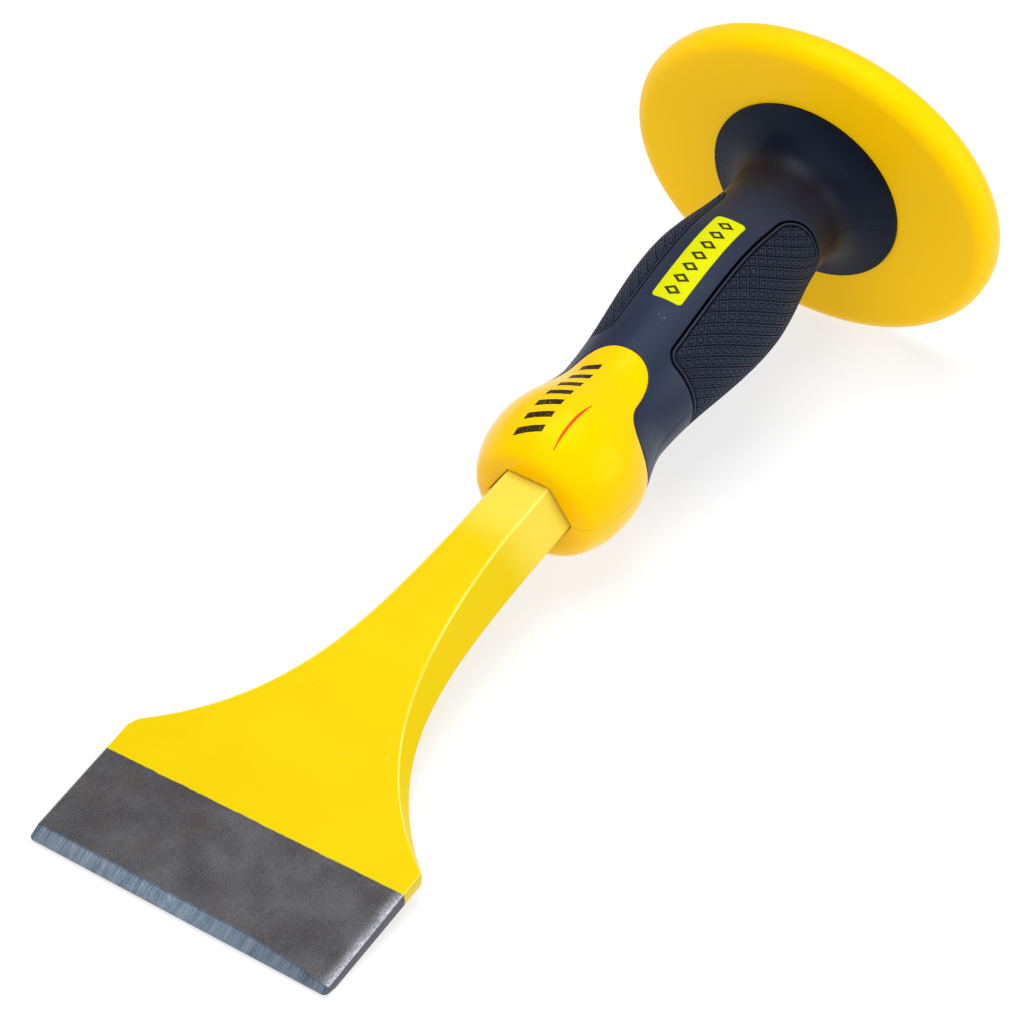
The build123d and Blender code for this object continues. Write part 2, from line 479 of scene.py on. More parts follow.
@dataclass
class Ring:
    """Points of a pad's outline, each a centre (station, depth), a direction out from it and a radius."""

    plan: PadPlan
    at: np.ndarray
    depth: np.ndarray
    way: np.ndarray
    corner: np.ndarray

    def only(self, chosen: np.ndarray) -> "Ring":
        """The chosen points of the ring, by their numbers."""
        return Ring(self.plan, self.at[chosen], self.depth[chosen], self.way[chosen], self.corner[chosen])

    def inset(self, distance: float) -> tuple[np.ndarray, np.ndarray]:
        """The ring set in by a distance.

        Args:
            distance: How far in from the outline. Below 0 it is outside.

        Returns:
            Stations, and arcs from the side's middle to the ring, all above 0.
        """
        along = self.at + (self.corner - distance) * self.way[:, 0]
        depth = self.depth + (self.corner - distance) * self.way[:, 1]
        height = self.plan.half_height(self.at)
        held = 1.0 - ease((self.depth - self.corner) / (height - self.corner))
        return along, height - depth + held * (self.plan.half_height(along) - height)


def all_round(quarter: np.ndarray, odd: bool = False, turned: bool = False) -> np.ndarray:
    """A quarter's values carried all round the handle, from the side over the top and back.

    Args:
        quarter: Values from the side to the top.
        odd: The value changes sign in a mirror, as an arc direction does.
        turned: The value is an angle from the top, which keeps falling all round.

    Returns:
        Values from the +Y side over the top, the -Y side and the underside to the +Y side.
    """
    back = quarter[::-1]
    if turned:
        parts = (quarter, -back[1:], (quarter - math.pi)[1:], (-math.pi - back)[1:])
    else:
        sign = -1.0 if odd else 1.0
        parts = (quarter, sign * back[1:], quarter[1:], sign * back[1:])
    return np.concatenate(parts)


# ---------------------------------------------------------------- the pieces


@dataclass
class ChiselBar:
    """The forged bar: a bevelled blade, a concave flare, a hexagonal shank and a strike face."""

    datum: ToolDatum
    sides: tuple[tuple[float, float, float], ...] = (
        (35.4 * MM, 33.7 * MM, 4.6), (34.9 * MM, 32.15 * MM, 5.3),
    )
    land: float = 0.15 * MM
    bevel: float = 3.2 * MM
    heel: float = 1.3 * MM
    shoulder_at: float = 32.0 * MM
    shoulder: float = 1.7 * MM
    flare: float = 110.0 * MM
    thickening: float = 75.0 * MM
    half_flats: float = 8.6 * MM
    strike_radius: float = 7.5 * MM
    tip_corner: float = 0.9 * MM
    ridge_softness: float = 0.3 * MM
    arc_steps: int = 5
    side_wear: float = 0.55
    facet_shares: tuple[float, ...] = (0.03, 0.12, 0.5, 0.88, 0.97)
    wide_shares: tuple[float, ...] = (0.008, 0.03, 0.1, 0.3, 0.5, 0.7, 0.9, 0.97, 0.992)
    narrowing: float = 2.0 * MM

    def half_width(self, along: np.ndarray, side: int) -> np.ndarray:
        """Half width on the +Y side (0) or the -Y side (1), which differ a little, as forged.

        It is a soft minimum of the blade's half width and the flare, which falls as (1 - t) to a
        power, with t from 0 at the shoulder. A quarter circle rounds the tip's corner.

        Args:
            along: Stations.
            side: 0 or 1.

        Returns:
            The half width at each station.
        """
        hexagon = self.half_flats * 2 / math.sqrt(3)
        blade, shoulder_at, power = self.sides[side]
        t = np.minimum((along - shoulder_at) / self.flare, 1.0)
        flared = hexagon + (blade - hexagon) * (1 - t) ** power
        soft = 0.35 * MM
        width = -soft * np.logaddexp(-blade / soft, -flared / soft)
        tip = np.clip(self.tip_corner - along, 0.0, None)
        return width - self.tip_corner + np.sqrt(np.clip(self.tip_corner**2 - tip**2, 0.0, None))

    def outline(self, along: np.ndarray) -> tuple[np.ndarray, np.ndarray]:
        """Size of the section at each station.

        With t from 0 at the shoulder to 1 at the bar, the half thickness rises as a smooth step
        and the facet's run grows as the root of t.

        Args:
            along: Stations.

        Returns:
            Half thickness, and how far the facet runs in from the side, at each station.
        """
        hexagon = self.half_flats * 2 / math.sqrt(3)
        t = np.clip((along - self.shoulder_at) / self.thickening, 0.0, 1.0)
        knots = [0.0, self.bevel, self.shoulder_at]
        thickness = np.interp(along, knots, [self.land, self.heel, self.shoulder])
        thickness += (self.half_flats - self.shoulder) * ease(t)
        run = 0.15 * MM + (hexagon / 2 - 0.15 * MM) * np.sqrt(t)
        return thickness, run

    def section(self, along: np.ndarray) -> tuple[np.ndarray, np.ndarray]:
        """Six-sided sections whose corners are Bezier curves between points trimmed off each side.

        Args:
            along: Stations.

        Returns:
            (across, up) of each point as (stations, points, 2), and how worn each point is.
        """
        thickness, run = self.outline(along)
        left, right = self.half_width(along, 0), self.half_width(along, 1)
        zero = np.zeros_like(left)
        corners = np.stack([
            np.stack([left, zero], -1), np.stack([left - run, thickness], -1),
            np.stack([run - right, thickness], -1), np.stack([-right, zero], -1),
            np.stack([run - right, -thickness], -1), np.stack([left - run, -thickness], -1),
        ], 1)
        before, after = np.roll(corners, 1, 1) - corners, np.roll(corners, -1, 1) - corners
        long_before, long_after = np.linalg.norm(before, axis=2), np.linalg.norm(after, axis=2)
        grown = ease((along - self.shoulder_at) / (0.5 * self.thickening))
        soft = self.ridge_softness * (0.45 + 0.55 * grown)
        trim = np.minimum(soft[:, None], 0.3 * np.minimum(long_before, long_after))[..., None]
        start = corners + before / long_before[..., None] * trim
        end = corners + after / long_after[..., None] * trim
        s = np.linspace(0.0, 1.0, self.arc_steps + 1)[None, None, :, None]
        arcs = (
            (1 - s) ** 2 * start[:, :, None]
            + 2 * s * (1 - s) * corners[:, :, None]
            + s**2 * end[:, :, None]
        )
        parts, worn = [], []
        for side in range(6):
            parts.append(arcs[:, side])
            worn.append(np.full(self.arc_steps + 1, self.side_wear if side in (0, 3) else 1.0))
            share = np.array(self.wide_shares if side in (1, 4) else self.facet_shares)[None, :, None]
            parts.append(between(end[:, side, None], start[:, (side + 1) % 6, None], share))
            worn.append(np.zeros(share.shape[1]))
        parts.append(arcs[:, 0, :1])
        worn.append(np.full(1, self.side_wear))
        return np.concatenate(parts, 1), np.concatenate(worn)

    def ground_back(self, along: np.ndarray, across: np.ndarray, up: np.ndarray) -> np.ndarray:
        """Stations drawn towards the edge on top near -Y, where the bevel was ground narrower.

        The draw is a smooth step across the blade, times a ramp that rises from the edge to the
        bevel's ridge and dies away behind it.

        Args:
            along: Stations.
            across: Distances across the blade.
            up: Distances above the tool's axis.

        Returns:
            The drawn stations.
        """
        aside = ease((-across - 20 * MM) / (15 * MM)) * ease(up / self.land)
        ramp = np.minimum(along / self.bevel, 1.0) * (1.0 - ease((along - self.bevel) / (9 * MM)))
        return along - self.narrowing * aside * ramp

    def build(self) -> bpy.types.Object:
        """Carry the section along the tool, limit it to the strike chamfer's cone, and close both ends.

        Returns:
            The piece.
        """
        strike_at = self.datum.length
        steps = spread([
            (0.2, 2), (0.9, 5), (3.05, 5), (3.2, 1), (3.35, 1), (5.0, 3), (30.0, 18), (36.0, 20),
            (108.0, 104), (122.0, 6), (251.0, 26), (253.8, 18), (254.0, 1),
        ]) * MM
        section, worn = self.section(steps)
        reach = np.linalg.norm(section, axis=2, keepdims=True)
        limit = (self.strike_radius + strike_at - steps)[:, None, None]
        limit = np.where(steps[:, None, None] >= strike_at, self.strike_radius - 0.15 * MM, limit)
        section = section * np.minimum(1.0, limit / np.maximum(reach, 1e-9))
        flat_tip = section[:1] * np.array([1.0, 0.0])
        face = section[-1:] * np.linspace(0.8, 0.0, 5)[:, None, None]
        section = np.concatenate([flat_tip, section, face])
        along = np.concatenate([steps[:1], steps, np.full(5, strike_at)])[:, None]
        across, up = section[..., 0], section[..., 1]
        shell = Shell()
        chart = np.stack(np.broadcast_arrays(along, across), -1)
        ground = self.ground_back(along, across, up)
        worn = worn * (np.hypot(across, up) > 0.85 * self.strike_radius)
        shell.add_grid(self.datum.place(ground, across, up), chart, worn)
        return shell.finish("forged_bar", crease=32.0)


@dataclass
class HandleCore:
    """The gloss moulding: the nose with its two tongues, the hidden tube, and the rear collar."""

    datum: ToolDatum
    outline: HandleOutline
    edge: NoseEdge
    half_flats: float = 8.6 * MM
    nose_at: float = 122.3 * MM
    tube_radius: float = 11.2 * MM
    collar_from: float = 243.2 * MM
    collar_to: float = 246.7 * MM
    collar_radius: float = 15.5 * MM
    collar_round: float = 1.2 * MM
    mouth_gap: float = 0.16 * MM
    mouth_round: float = 0.4 * MM
    mouth_depth: float = 3.0 * MM
    mouth_taper: float = 1.2 * MM
    hole_chamfer: float = 0.5 * MM
    seam: float = 0.45 * MM
    seam_dip: float = 0.2 * MM
    skin_rows: int = 60

    def hexagon(self, angle: np.ndarray, gap: float) -> np.ndarray:
        """Radius of the hexagonal hole: half flats over the cosine of the turn from a flat."""
        third = math.pi / 3
        return self.half_flats / np.cos((angle + third / 2) % third - third / 2) + gap

    def build(self) -> bpy.types.Object:
        """Rows run from the mouth over the nose to its edge, down to the tube, round the collar and in.

        Returns:
            The piece.
        """
        quarter = self.edge.quarter()
        inward = self.edge.inward(quarter)
        edge_at, edge_angle = all_round(quarter[:, 0]), all_round(quarter[:, 1], turned=True)
        way_along, way_arc = all_round(inward[:, 0]), all_round(inward[:, 1], odd=True)
        even = np.linspace(math.pi / 2, -3 * math.pi / 2, len(edge_at))
        one = np.ones_like(even)
        rows: list[Row] = []
        rows.append((one * (self.nose_at + self.mouth_depth), even, self.hexagon(even, 0.0)))
        rows.append((one * (self.nose_at + self.mouth_taper), even, self.hexagon(even, self.mouth_gap)))
        for out, down in quarter_round(self.mouth_round, 5):
            rows.append((one * (self.nose_at + down), even, self.hexagon(even, self.mouth_gap + out)))
        last_at = edge_at - self.seam * way_along
        last_angle = edge_angle - self.seam * way_arc / self.outline.radius(edge_at)
        for share in np.linspace(0.0, 1.0, self.skin_rows)[:-1]:
            share = share**1.25
            along, radius = self.outline.at_travel(share * self.outline.travel_to(last_at))
            rows.append((along, between(even, last_angle, ease(share)), radius))
        for back in np.linspace(1.0, 0.0, 7):
            along = edge_at - back * self.seam * way_along
            angle = edge_angle - back * self.seam * way_arc / self.outline.radius(edge_at)
            rows.append((along, angle, self.outline.radius(along) - self.seam_dip * (1 - back) ** 2))
        rows.append((edge_at, edge_angle, one * self.tube_radius))
        for share in np.linspace(0.0, 1.0, 5):
            along = between(edge_at, self.collar_from, share)
            rows.append((along, between(edge_angle, even, share), one * self.tube_radius))
        rows.append((one * self.collar_from, even, one * self.collar_radius))
        for out, down in quarter_round(self.collar_round, 6):
            rows.append((one * (self.collar_to - down), even, one * (self.collar_radius - out)))
        rows.append((one * self.collar_to, even, self.hexagon(even, self.hole_chamfer)))
        rows.append((one * (self.collar_to - self.hole_chamfer), even, self.hexagon(even, 0.05 * MM)))
        rows.append((one * (self.nose_at + self.mouth_depth), even, self.hexagon(even, 0.0)))
        along, angle, radius = (np.stack(part) for part in zip(*rows))
        from_parting = np.clip(np.abs(radius * np.cos(angle)) / PARTING_REACH, 0.0, 1.0)
        shell = Shell()
        points = self.datum.turn(along, angle, radius)
        shell.add_grid(points, self.outline.chart(along, angle), from_parting)
        return shell.finish("nose_and_collar", crease=50.0)


@dataclass
class GripSleeve:
    """The dark sleeve: two sides with a pad pocket each, and the neck that flares into a flange."""

    datum: ToolDatum
    outline: HandleOutline
    edge: NoseEdge
    plan: PadPlan
    neck_at: float = 222.0 * MM
    flange_at: float = 233.5 * MM
    guard_at: float = 234.2 * MM
    flange_radius: float = 23.3 * MM
    tube_radius: float = 11.2 * MM
    pocket_depth: float = 2.0 * MM
    wall_step: float = 0.9 * MM
    lip: float = 0.4 * MM
    seam: float = 0.5 * MM
    seam_dip: float = 0.2 * MM
    skin_rows: int = 22
    neck_rows: int = 46

    def skin(self, along: np.ndarray, arc_angle: np.ndarray, depth: np.ndarray | float) -> np.ndarray:
        """Radius of the outside: the outline less a depth and the parting line at the side's middle."""
        radius = self.outline.radius(along)
        return radius - depth - parting(arc_angle * radius)

    def border(self) -> tuple[np.ndarray, np.ndarray, np.ndarray, np.ndarray]:
        """The upper half of a side's outer border: the nose's edge, the top line and the neck line.

        Returns:
            Stations, angles from the side's middle, directions in from the nose's edge as (along, arc),
            and how much of the nose's edge there is at each point.
        """
        quarter = self.edge.quarter()
        inward = self.edge.inward(quarter) * np.array([1.0, -1.0])
        top = np.linspace(quarter[-1, 0], self.neck_at, self.plan.long_steps + 1)[1:]
        rear = math.pi / 2 * side_spacing(self.plan.end_steps)[::-1][1:]
        along = np.concatenate([quarter[:, 0], top, np.full(len(rear), self.neck_at)])
        angle = np.concatenate([math.pi / 2 - quarter[:, 1], np.full(len(top), math.pi / 2), rear])
        rest = np.zeros(len(top) + len(rear))
        way = np.concatenate([inward, np.stack([rest, rest], 1)])
        at_edge = np.concatenate([np.ones(len(quarter)), rest])
        return along, angle, way, at_edge

    def pocket_row(self, ring: Ring, inset: float, depth: float) -> Row:
        """One row of the pocket.

        Args:
            ring: The pad's outline.
            inset: How far in from it.
            depth: How far below the outside.

        Returns:
            Stations, angles from the side's middle, and radii.
        """
        along, arc = ring.inset(inset)
        radius = self.outline.radius(along)
        return along, arc / radius, radius - depth

    def side(self, shell: Shell, hand: float) -> None:
        """Add one side: pocket floor, wall, rounded lip and skin, as rings out from the pocket.

        Args:
            shell: The surface to add to.
            hand: 1 for the +Y side, -1 for the -Y side.
        """
        ring = self.plan.upper()
        rows: list[Row] = []
        along, angle, radius = self.pocket_row(ring, 0.0, self.pocket_depth)
        middle = np.clip(along, self.plan.front + 12 * MM, self.plan.rear - 12 * MM)
        rows.append((middle, angle * 0.0, self.outline.radius(middle) - self.pocket_depth))
        halfway = between(middle, along, 0.5)
        rows.append((halfway, angle * 0.5, self.outline.radius(halfway) - self.pocket_depth))
        rows.append((along, angle, radius))
        rows.append(self.pocket_row(ring, 0.0, self.wall_step))
        for out, down in quarter_round(self.lip, 6):
            rows.append(self.pocket_row(ring, -out, down))
        gap_rows = len(rows)
        lip_at, lip_angle, _ = rows[-1]
        edge_at, edge_angle, way, at_edge = self.border()
        edge_radius = self.outline.radius(edge_at)
        path = np.stack([lip_at - edge_at, (lip_angle - edge_angle) * edge_radius], 1)
        path /= np.linalg.norm(path, axis=1)[:, None]
        square = (ease((math.pi / 2 - edge_angle) / 0.35) * at_edge)[:, None]
        way = path + (way - path) * square
        start_at = edge_at + self.seam * way[:, 0]
        start_angle = edge_angle + self.seam * way[:, 1] / edge_radius
        for share in np.linspace(0.0, 1.0, self.skin_rows)[1:-1]:
            along = between(lip_at, start_at, share)
            angle = between(lip_angle, start_angle, share)
            rows.append((along, angle, self.skin(along, angle, 0.0)))
        for back in np.linspace(1.0, 0.0, 8):
            along = edge_at + back * self.seam * way[:, 0]
            angle = edge_angle + back * self.seam * way[:, 1] / edge_radius
            rows.append((along, angle, self.skin(along, angle, self.seam_dip * (1 - back) ** 2 * at_edge)))
        along, angle, radius = (np.stack(part) for part in zip(*rows))
        along = np.concatenate([along, along[:, -2::-1]], 1)
        angle = np.concatenate([angle, -angle[:, -2::-1]], 1)
        radius = np.concatenate([radius, radius[:, -2::-1]], 1)
        turn = hand * (math.pi / 2 - angle)
        # Painted shade: the value is 1 on the pocket's floor and wall and fades to 0 across the lip, so the
        # gap round the pad is painted near black.
        gap_shade = np.clip((gap_rows - 1.5 - np.arange(len(rows))) / 3.0, 0.0, 1.0)
        wear = np.broadcast_to(gap_shade[:, None], along.shape)
        shell.add_grid(self.datum.turn(along, turn, radius), self.outline.chart(along, turn), wear)

    def neck(self, shell: Shell) -> None:
        """Add the neck, the flange's rim and back, the bore, and the wall under the nose's edge.

        Args:
            shell: The surface to add to.
        """
        quarter = self.edge.quarter()
        edge_at, edge_turn = all_round(quarter[:, 0]), all_round(quarter[:, 1], turned=True)
        turn = all_round(math.pi / 2 * (1 - side_spacing(self.plan.end_steps)), turned=True)
        from_side = np.abs(turn % math.pi - math.pi / 2)
        one = np.ones_like(turn)
        rows: list[Row] = []
        start, end = self.outline.travel_to(self.neck_at), self.outline.travel_to(self.flange_at)
        travel = np.linspace(start, end, self.neck_rows)
        for along, radius in zip(*self.outline.at_travel(travel)):
            rows.append((along * one, turn, radius - parting(from_side * radius)))
        rim = self.flange_radius - parting(from_side * self.flange_radius)
        rows.append((one * (self.flange_at + 0.12 * MM), turn, rim))
        rows.append((one * self.guard_at, turn, rim))
        rows.append((one * self.guard_at, turn, one * self.tube_radius))
        for share in np.linspace(0.2, 1.0, 5):
            along = between(self.guard_at * one, edge_at, share)
            rows.append((along, between(turn, edge_turn, share), one * self.tube_radius))
        edge_side = np.abs(np.abs(edge_turn % math.pi) - math.pi / 2)
        rows.append((edge_at, edge_turn, self.skin(edge_at, edge_side, self.seam_dip)))
        along, angle, radius = (np.stack(part) for part in zip(*rows))
        shell.add_grid(self.datum.turn(along, angle, radius), self.outline.chart(along, angle))

    def build(self) -> bpy.types.Object:
        """Join both sides and the neck along the top, bottom and neck lines.

        Returns:
            The piece.
        """
        shell = Shell()
        self.side(shell, 1.0)
        self.side(shell, -1.0)
        self.neck(shell)
        return shell.finish("grip_sleeve_skin", crease=60.0)


@dataclass
class GripPad:
    """A textured pad: a diagonal lattice of raised rhombs, then a groove and a smooth rounded bead.

    A lattice cell's height depends only on the larger of its two distances from the cell's
    middle: a dimpled boss, a sunk ring, a raised rim, and a groove to the next cell.
    """

    datum: ToolDatum
    outline: HandleOutline
    plan: PadPlan
    hand: float
    cell_from: tuple[float, float] = (184.6 * MM, 0.61 * MM)
    cell_step: tuple[float, float] = (1.93 * MM, 1.53 * MM)
    lattice_radius: float = 16.0 * MM
    cells: int = 17
    gap: float = 0.45 * MM
    lip: float = 0.85 * MM
    bead: float = 0.58 * MM
    groove: float = 0.9 * MM
    bead_inner_round: float = 0.26 * MM
    bead_outer_round: float = 0.28 * MM
    floor: float = 2.0 * MM
    relief: tuple[tuple[float, float], ...] = (
        (0.0, 0.34), (0.08, 0.12), (0.16, 0.10), (0.21, 0.36), (0.29, 0.37), (0.33, 0.05), (0.42, 0.03),
        (0.46, 0.46), (0.5, 0.48),
    )

    def lattice(self) -> tuple[np.ndarray, np.ndarray, np.ndarray, np.ndarray]:
        """The lattice over a square that covers the pad.

        Returns:
            Station, angle and depth of each point, and the quads between them.
        """
        knots = np.array([knot for knot, _ in self.relief[:-1]])
        offsets = np.concatenate([-knots[:0:-1], knots])
        lines = (np.arange(-self.cells, self.cells + 1)[:, None] + offsets).ravel()
        first, second = np.meshgrid(lines, lines, indexing="ij")
        along = self.cell_from[0] + self.cell_step[0] * (first + second)
        angle = (self.cell_from[1] + self.cell_step[1] * (first - second)) / self.lattice_radius
        away = np.maximum(np.abs(first - np.round(first)), np.abs(second - np.round(second)))
        depth = np.interp(away, [knot for knot, _ in self.relief], [down for _, down in self.relief]) * MM
        return along.ravel(), angle.ravel(), depth.ravel(), grid_quads(*first.shape)

    def build(self) -> bpy.types.Object:
        """Trim the lattice to the lip, then carry its border over the lip, down the wall and under.

        Returns:
            The piece.
        """
        along, angle, depth, quads = self.lattice()
        arc = angle * self.outline.radius(along)
        distance, nearest = self.plan.inside(along, arc)
        field_inset = self.gap + self.lip
        inside = (distance > field_inset) & (np.abs(angle) < math.pi / 2)
        quads = quads[inside[quads].any(1)]
        used, quads = np.unique(quads, return_inverse=True)
        quads = quads.reshape(-1, 4)
        hand = np.where(arc[used] < 0, -1.0, 1.0)
        nearest = nearest.only(used)
        along, angle, depth, inside = along[used], angle[used], depth[used], inside[used]
        rim_at, rim_arc = nearest.inset(field_inset)
        along = np.where(inside, along, rim_at)
        angle = np.where(inside, angle, hand * rim_arc / self.outline.radius(rim_at))
        depth = np.where(inside, depth, self.groove)
        loose = self.loose_edges(quads)
        border, chain = np.unique(loose, return_inverse=True)
        chain = chain.reshape(-1, 2)
        ring = nearest.only(border)
        side = hand[border]
        middle = (self.plan.front + self.plan.rear) / 2
        inner = self.gap + self.bead
        steps = [(field_inset, self.groove), (inner, self.groove)]
        steps += [(inner - out, down) for out, down in quarter_round(self.bead_inner_round, 4)]
        steps += [(self.gap + out, down) for out, down in quarter_round(self.bead_outer_round, 5)[::-1]]
        steps += [(self.gap, 1.0 * MM), (self.gap, self.floor)]
        rows = []
        for inset, down in steps:
            row_at, row_arc = ring.inset(inset)
            row_radius = self.outline.radius(row_at)
            rows.append((row_at, side * row_arc / row_radius, row_radius - down))
        last_at, last_angle, _ = rows[-1]
        for share in (0.3, 0.6, 0.85, 1.0):
            row_at = between(last_at, middle, share)
            rows.append((row_at, last_angle * (1 - share), self.outline.radius(row_at) - self.floor))
        shell = Shell()
        self.add(shell, along, angle, self.outline.radius(along) - depth, quads)
        row_at, row_angle, row_radius = (np.stack(part) for part in zip(*rows))
        step = len(border) * np.arange(len(rows) - 1)[:, None]
        ends = chain[None] + step[..., None]
        below = ends + len(border)
        walls = np.stack([ends[..., 0], ends[..., 1], below[..., 1], below[..., 0]], -1)
        self.add(shell, row_at.ravel(), row_angle.ravel(), row_radius.ravel(), walls.reshape(-1, 4))
        return shell.finish("grip_pad_plus_y" if self.hand > 0 else "grip_pad_minus_y", crease=75.0)

    def loose_edges(self, quads: np.ndarray) -> np.ndarray:
        """Edges that belong to one quad only.

        Args:
            quads: Four point numbers for each face.

        Returns:
            A pair of point numbers for each edge.
        """
        edges = np.sort(np.stack([quads, np.roll(quads, -1, 1)], -1).reshape(-1, 2), 1)
        kinds, times = np.unique(edges, axis=0, return_counts=True)
        return kinds[times == 1]

    def add(
        self, shell: Shell, along: np.ndarray, angle: np.ndarray, radius: np.ndarray, quads: np.ndarray
    ) -> None:
        """Add quads given in the handle's own coordinates, with a wear value that is highest where they
        stand highest and sets painted shade lower down.

        Args:
            shell: The surface to add to.
            along: Station of each point.
            angle: Angle of each point from the side's middle.
            radius: Radius of each point.
            quads: Four point numbers for each face.
        """
        turn = self.hand * (math.pi / 2 - angle)
        sunk = self.outline.radius(along) - radius
        wear = 1.0 - np.clip(sunk / (0.4 * MM), 0.0, 1.0)
        shell.add_faces(self.datum.turn(along, turn, radius), self.outline.chart(along, turn), wear, quads)


@dataclass
class Badge:
    """The label plate: a rounded rectangle that follows the grip's crown and stands just proud of it."""

    datum: ToolDatum
    outline: HandleOutline
    middle: float = 189.1 * MM
    half_length: float = 13.6 * MM
    half_width: float = 3.65 * MM
    corner: float = 1.0 * MM
    proud: float = 0.12 * MM
    sunk: float = 0.6 * MM
    soft: float = 0.12 * MM

    def build(self) -> bpy.types.Object:
        """Rings set in from the outline: the underside, the wall, the rounded edge and the top.

        Returns:
            The piece.
        """
        turn = np.linspace(0.0, math.pi / 2, 8)
        reach = np.array([self.half_length - self.corner, self.half_width - self.corner])
        centres, ways = [], []
        for number, sign in enumerate(((1, 1), (-1, 1), (-1, -1), (1, -1))):
            angle = turn + number * math.pi / 2
            centres.append(np.tile(reach * sign, (len(turn), 1)))
            ways.append(np.stack([np.cos(angle), np.sin(angle)], 1))
            following = reach * ((1, 1), (-1, 1), (-1, -1), (1, -1))[(number + 1) % 4]
            share = np.linspace(0.0, 1.0, 26 if number % 2 == 0 else 8)[1:-1, None]
            centres.append(between(reach * sign, following, share))
            ways.append(np.tile(ways[-1][-1], (len(share), 1)))
        centre = np.concatenate(centres + [centres[0][:1]])
        way = np.concatenate(ways + [ways[0][:1]])
        rows = [(self.corner, -self.sunk)]
        rows += [(self.corner - out, self.proud - down) for out, down in quarter_round(self.soft, 4)]
        rows += [(self.corner - 0.5 * MM, self.proud)]
        ring = np.stack([centre + way * out for out, _ in rows])
        height = np.array([up for _, up in rows])
        spine = np.stack([np.clip(ring[0, :, 0], -reach[0], reach[0]), np.zeros(len(centre))], 1)
        inner = [between(ring[-1], spine, share) for share in (0.35, 0.7, 1.0)]
        under = [spine, between(spine, ring[0], 0.6)]
        place = np.concatenate([under, ring, inner])
        height = np.concatenate([np.full(2, -self.sunk), height, np.full(3, self.proud)])[:, None]
        along, across = place[..., 0] + self.middle, place[..., 1]
        up = np.sqrt(self.outline.radius(along) ** 2 - across**2) + height
        shell = Shell()
        shell.add_grid(self.datum.place(along, across, up), np.stack([along, across], -1))
        return shell.finish("label_plate", crease=60.0)


@dataclass
class HandGuard:
    """The oval guard: a flat disc whose rim is a full rounding, with a bore for the tube."""

    datum: ToolDatum
    half_width: float = 45.5 * MM
    half_height: float = 39.0 * MM
    front: float = 234.2 * MM
    back: float = 243.2 * MM
    rim_round: float = 4.0 * MM
    bore: float = 11.2 * MM
    columns: int = 192

    def build(self) -> bpy.types.Object:
        """Rows are the oval set in along its own normal, through the rounding, then drawn in to the bore.

        Returns:
            The piece.
        """
        turn = np.linspace(0.0, TURN, self.columns + 1)
        oval = np.stack([self.half_width * np.sin(turn), self.half_height * np.cos(turn)], 1)
        normal = np.stack([self.half_height * np.sin(turn), self.half_width * np.cos(turn)], 1)
        normal /= np.linalg.norm(normal, axis=1)[:, None]
        hole = self.bore * np.stack([np.sin(turn), np.cos(turn)], 1)
        inner = oval - self.rim_round * normal
        rounding = quarter_round(self.rim_round, 14)
        rows, stations = [hole], [self.front]
        for share in np.linspace(0.0, 1.0, 14)[1:-1]:
            rows.append(between(hole, inner, share))
            stations.append(self.front)
        for out, down in rounding[::-1]:
            rows.append(oval - out * normal)
            stations.append(self.front + down)
        for out, down in rounding:
            rows.append(oval - out * normal)
            stations.append(self.back - down)
        for share in np.linspace(1.0, 0.0, 14)[1:]:
            rows.append(between(hole, inner, share))
            stations.append(self.back)
        rows.append(hole)
        stations.append(self.front)
        place = np.stack(rows)
        along = np.array(stations)[:, None]
        across, up = place[..., 0], place[..., 1]
        shell = Shell()
        shell.add_grid(self.datum.place(along, across, up), np.stack([across, up], -1))
        return shell.finish("hand_guard", crease=60.0)


# ---------------------------------------------------------------- shading


def colour(red: int, green: int, blue: int) -> tuple[float, float, float, float]:
    """A colour given in 8-bit display values, as linear light.

    Args:
        red: Red from 0 to 255.
        green: Green from 0 to 255.
        blue: Blue from 0 to 255.

    Returns:
        Red, green, blue and alpha from 0 to 1.
    """
    shares = np.array([red, green, blue]) / 255
    linear = np.where(shares <= 0.04045, shares / 12.92, ((shares + 0.055) / 1.055) ** 2.4)
    return (*map(float, linear), 1.0)


Socket = bpy.types.NodeSocket
Value = Socket | float


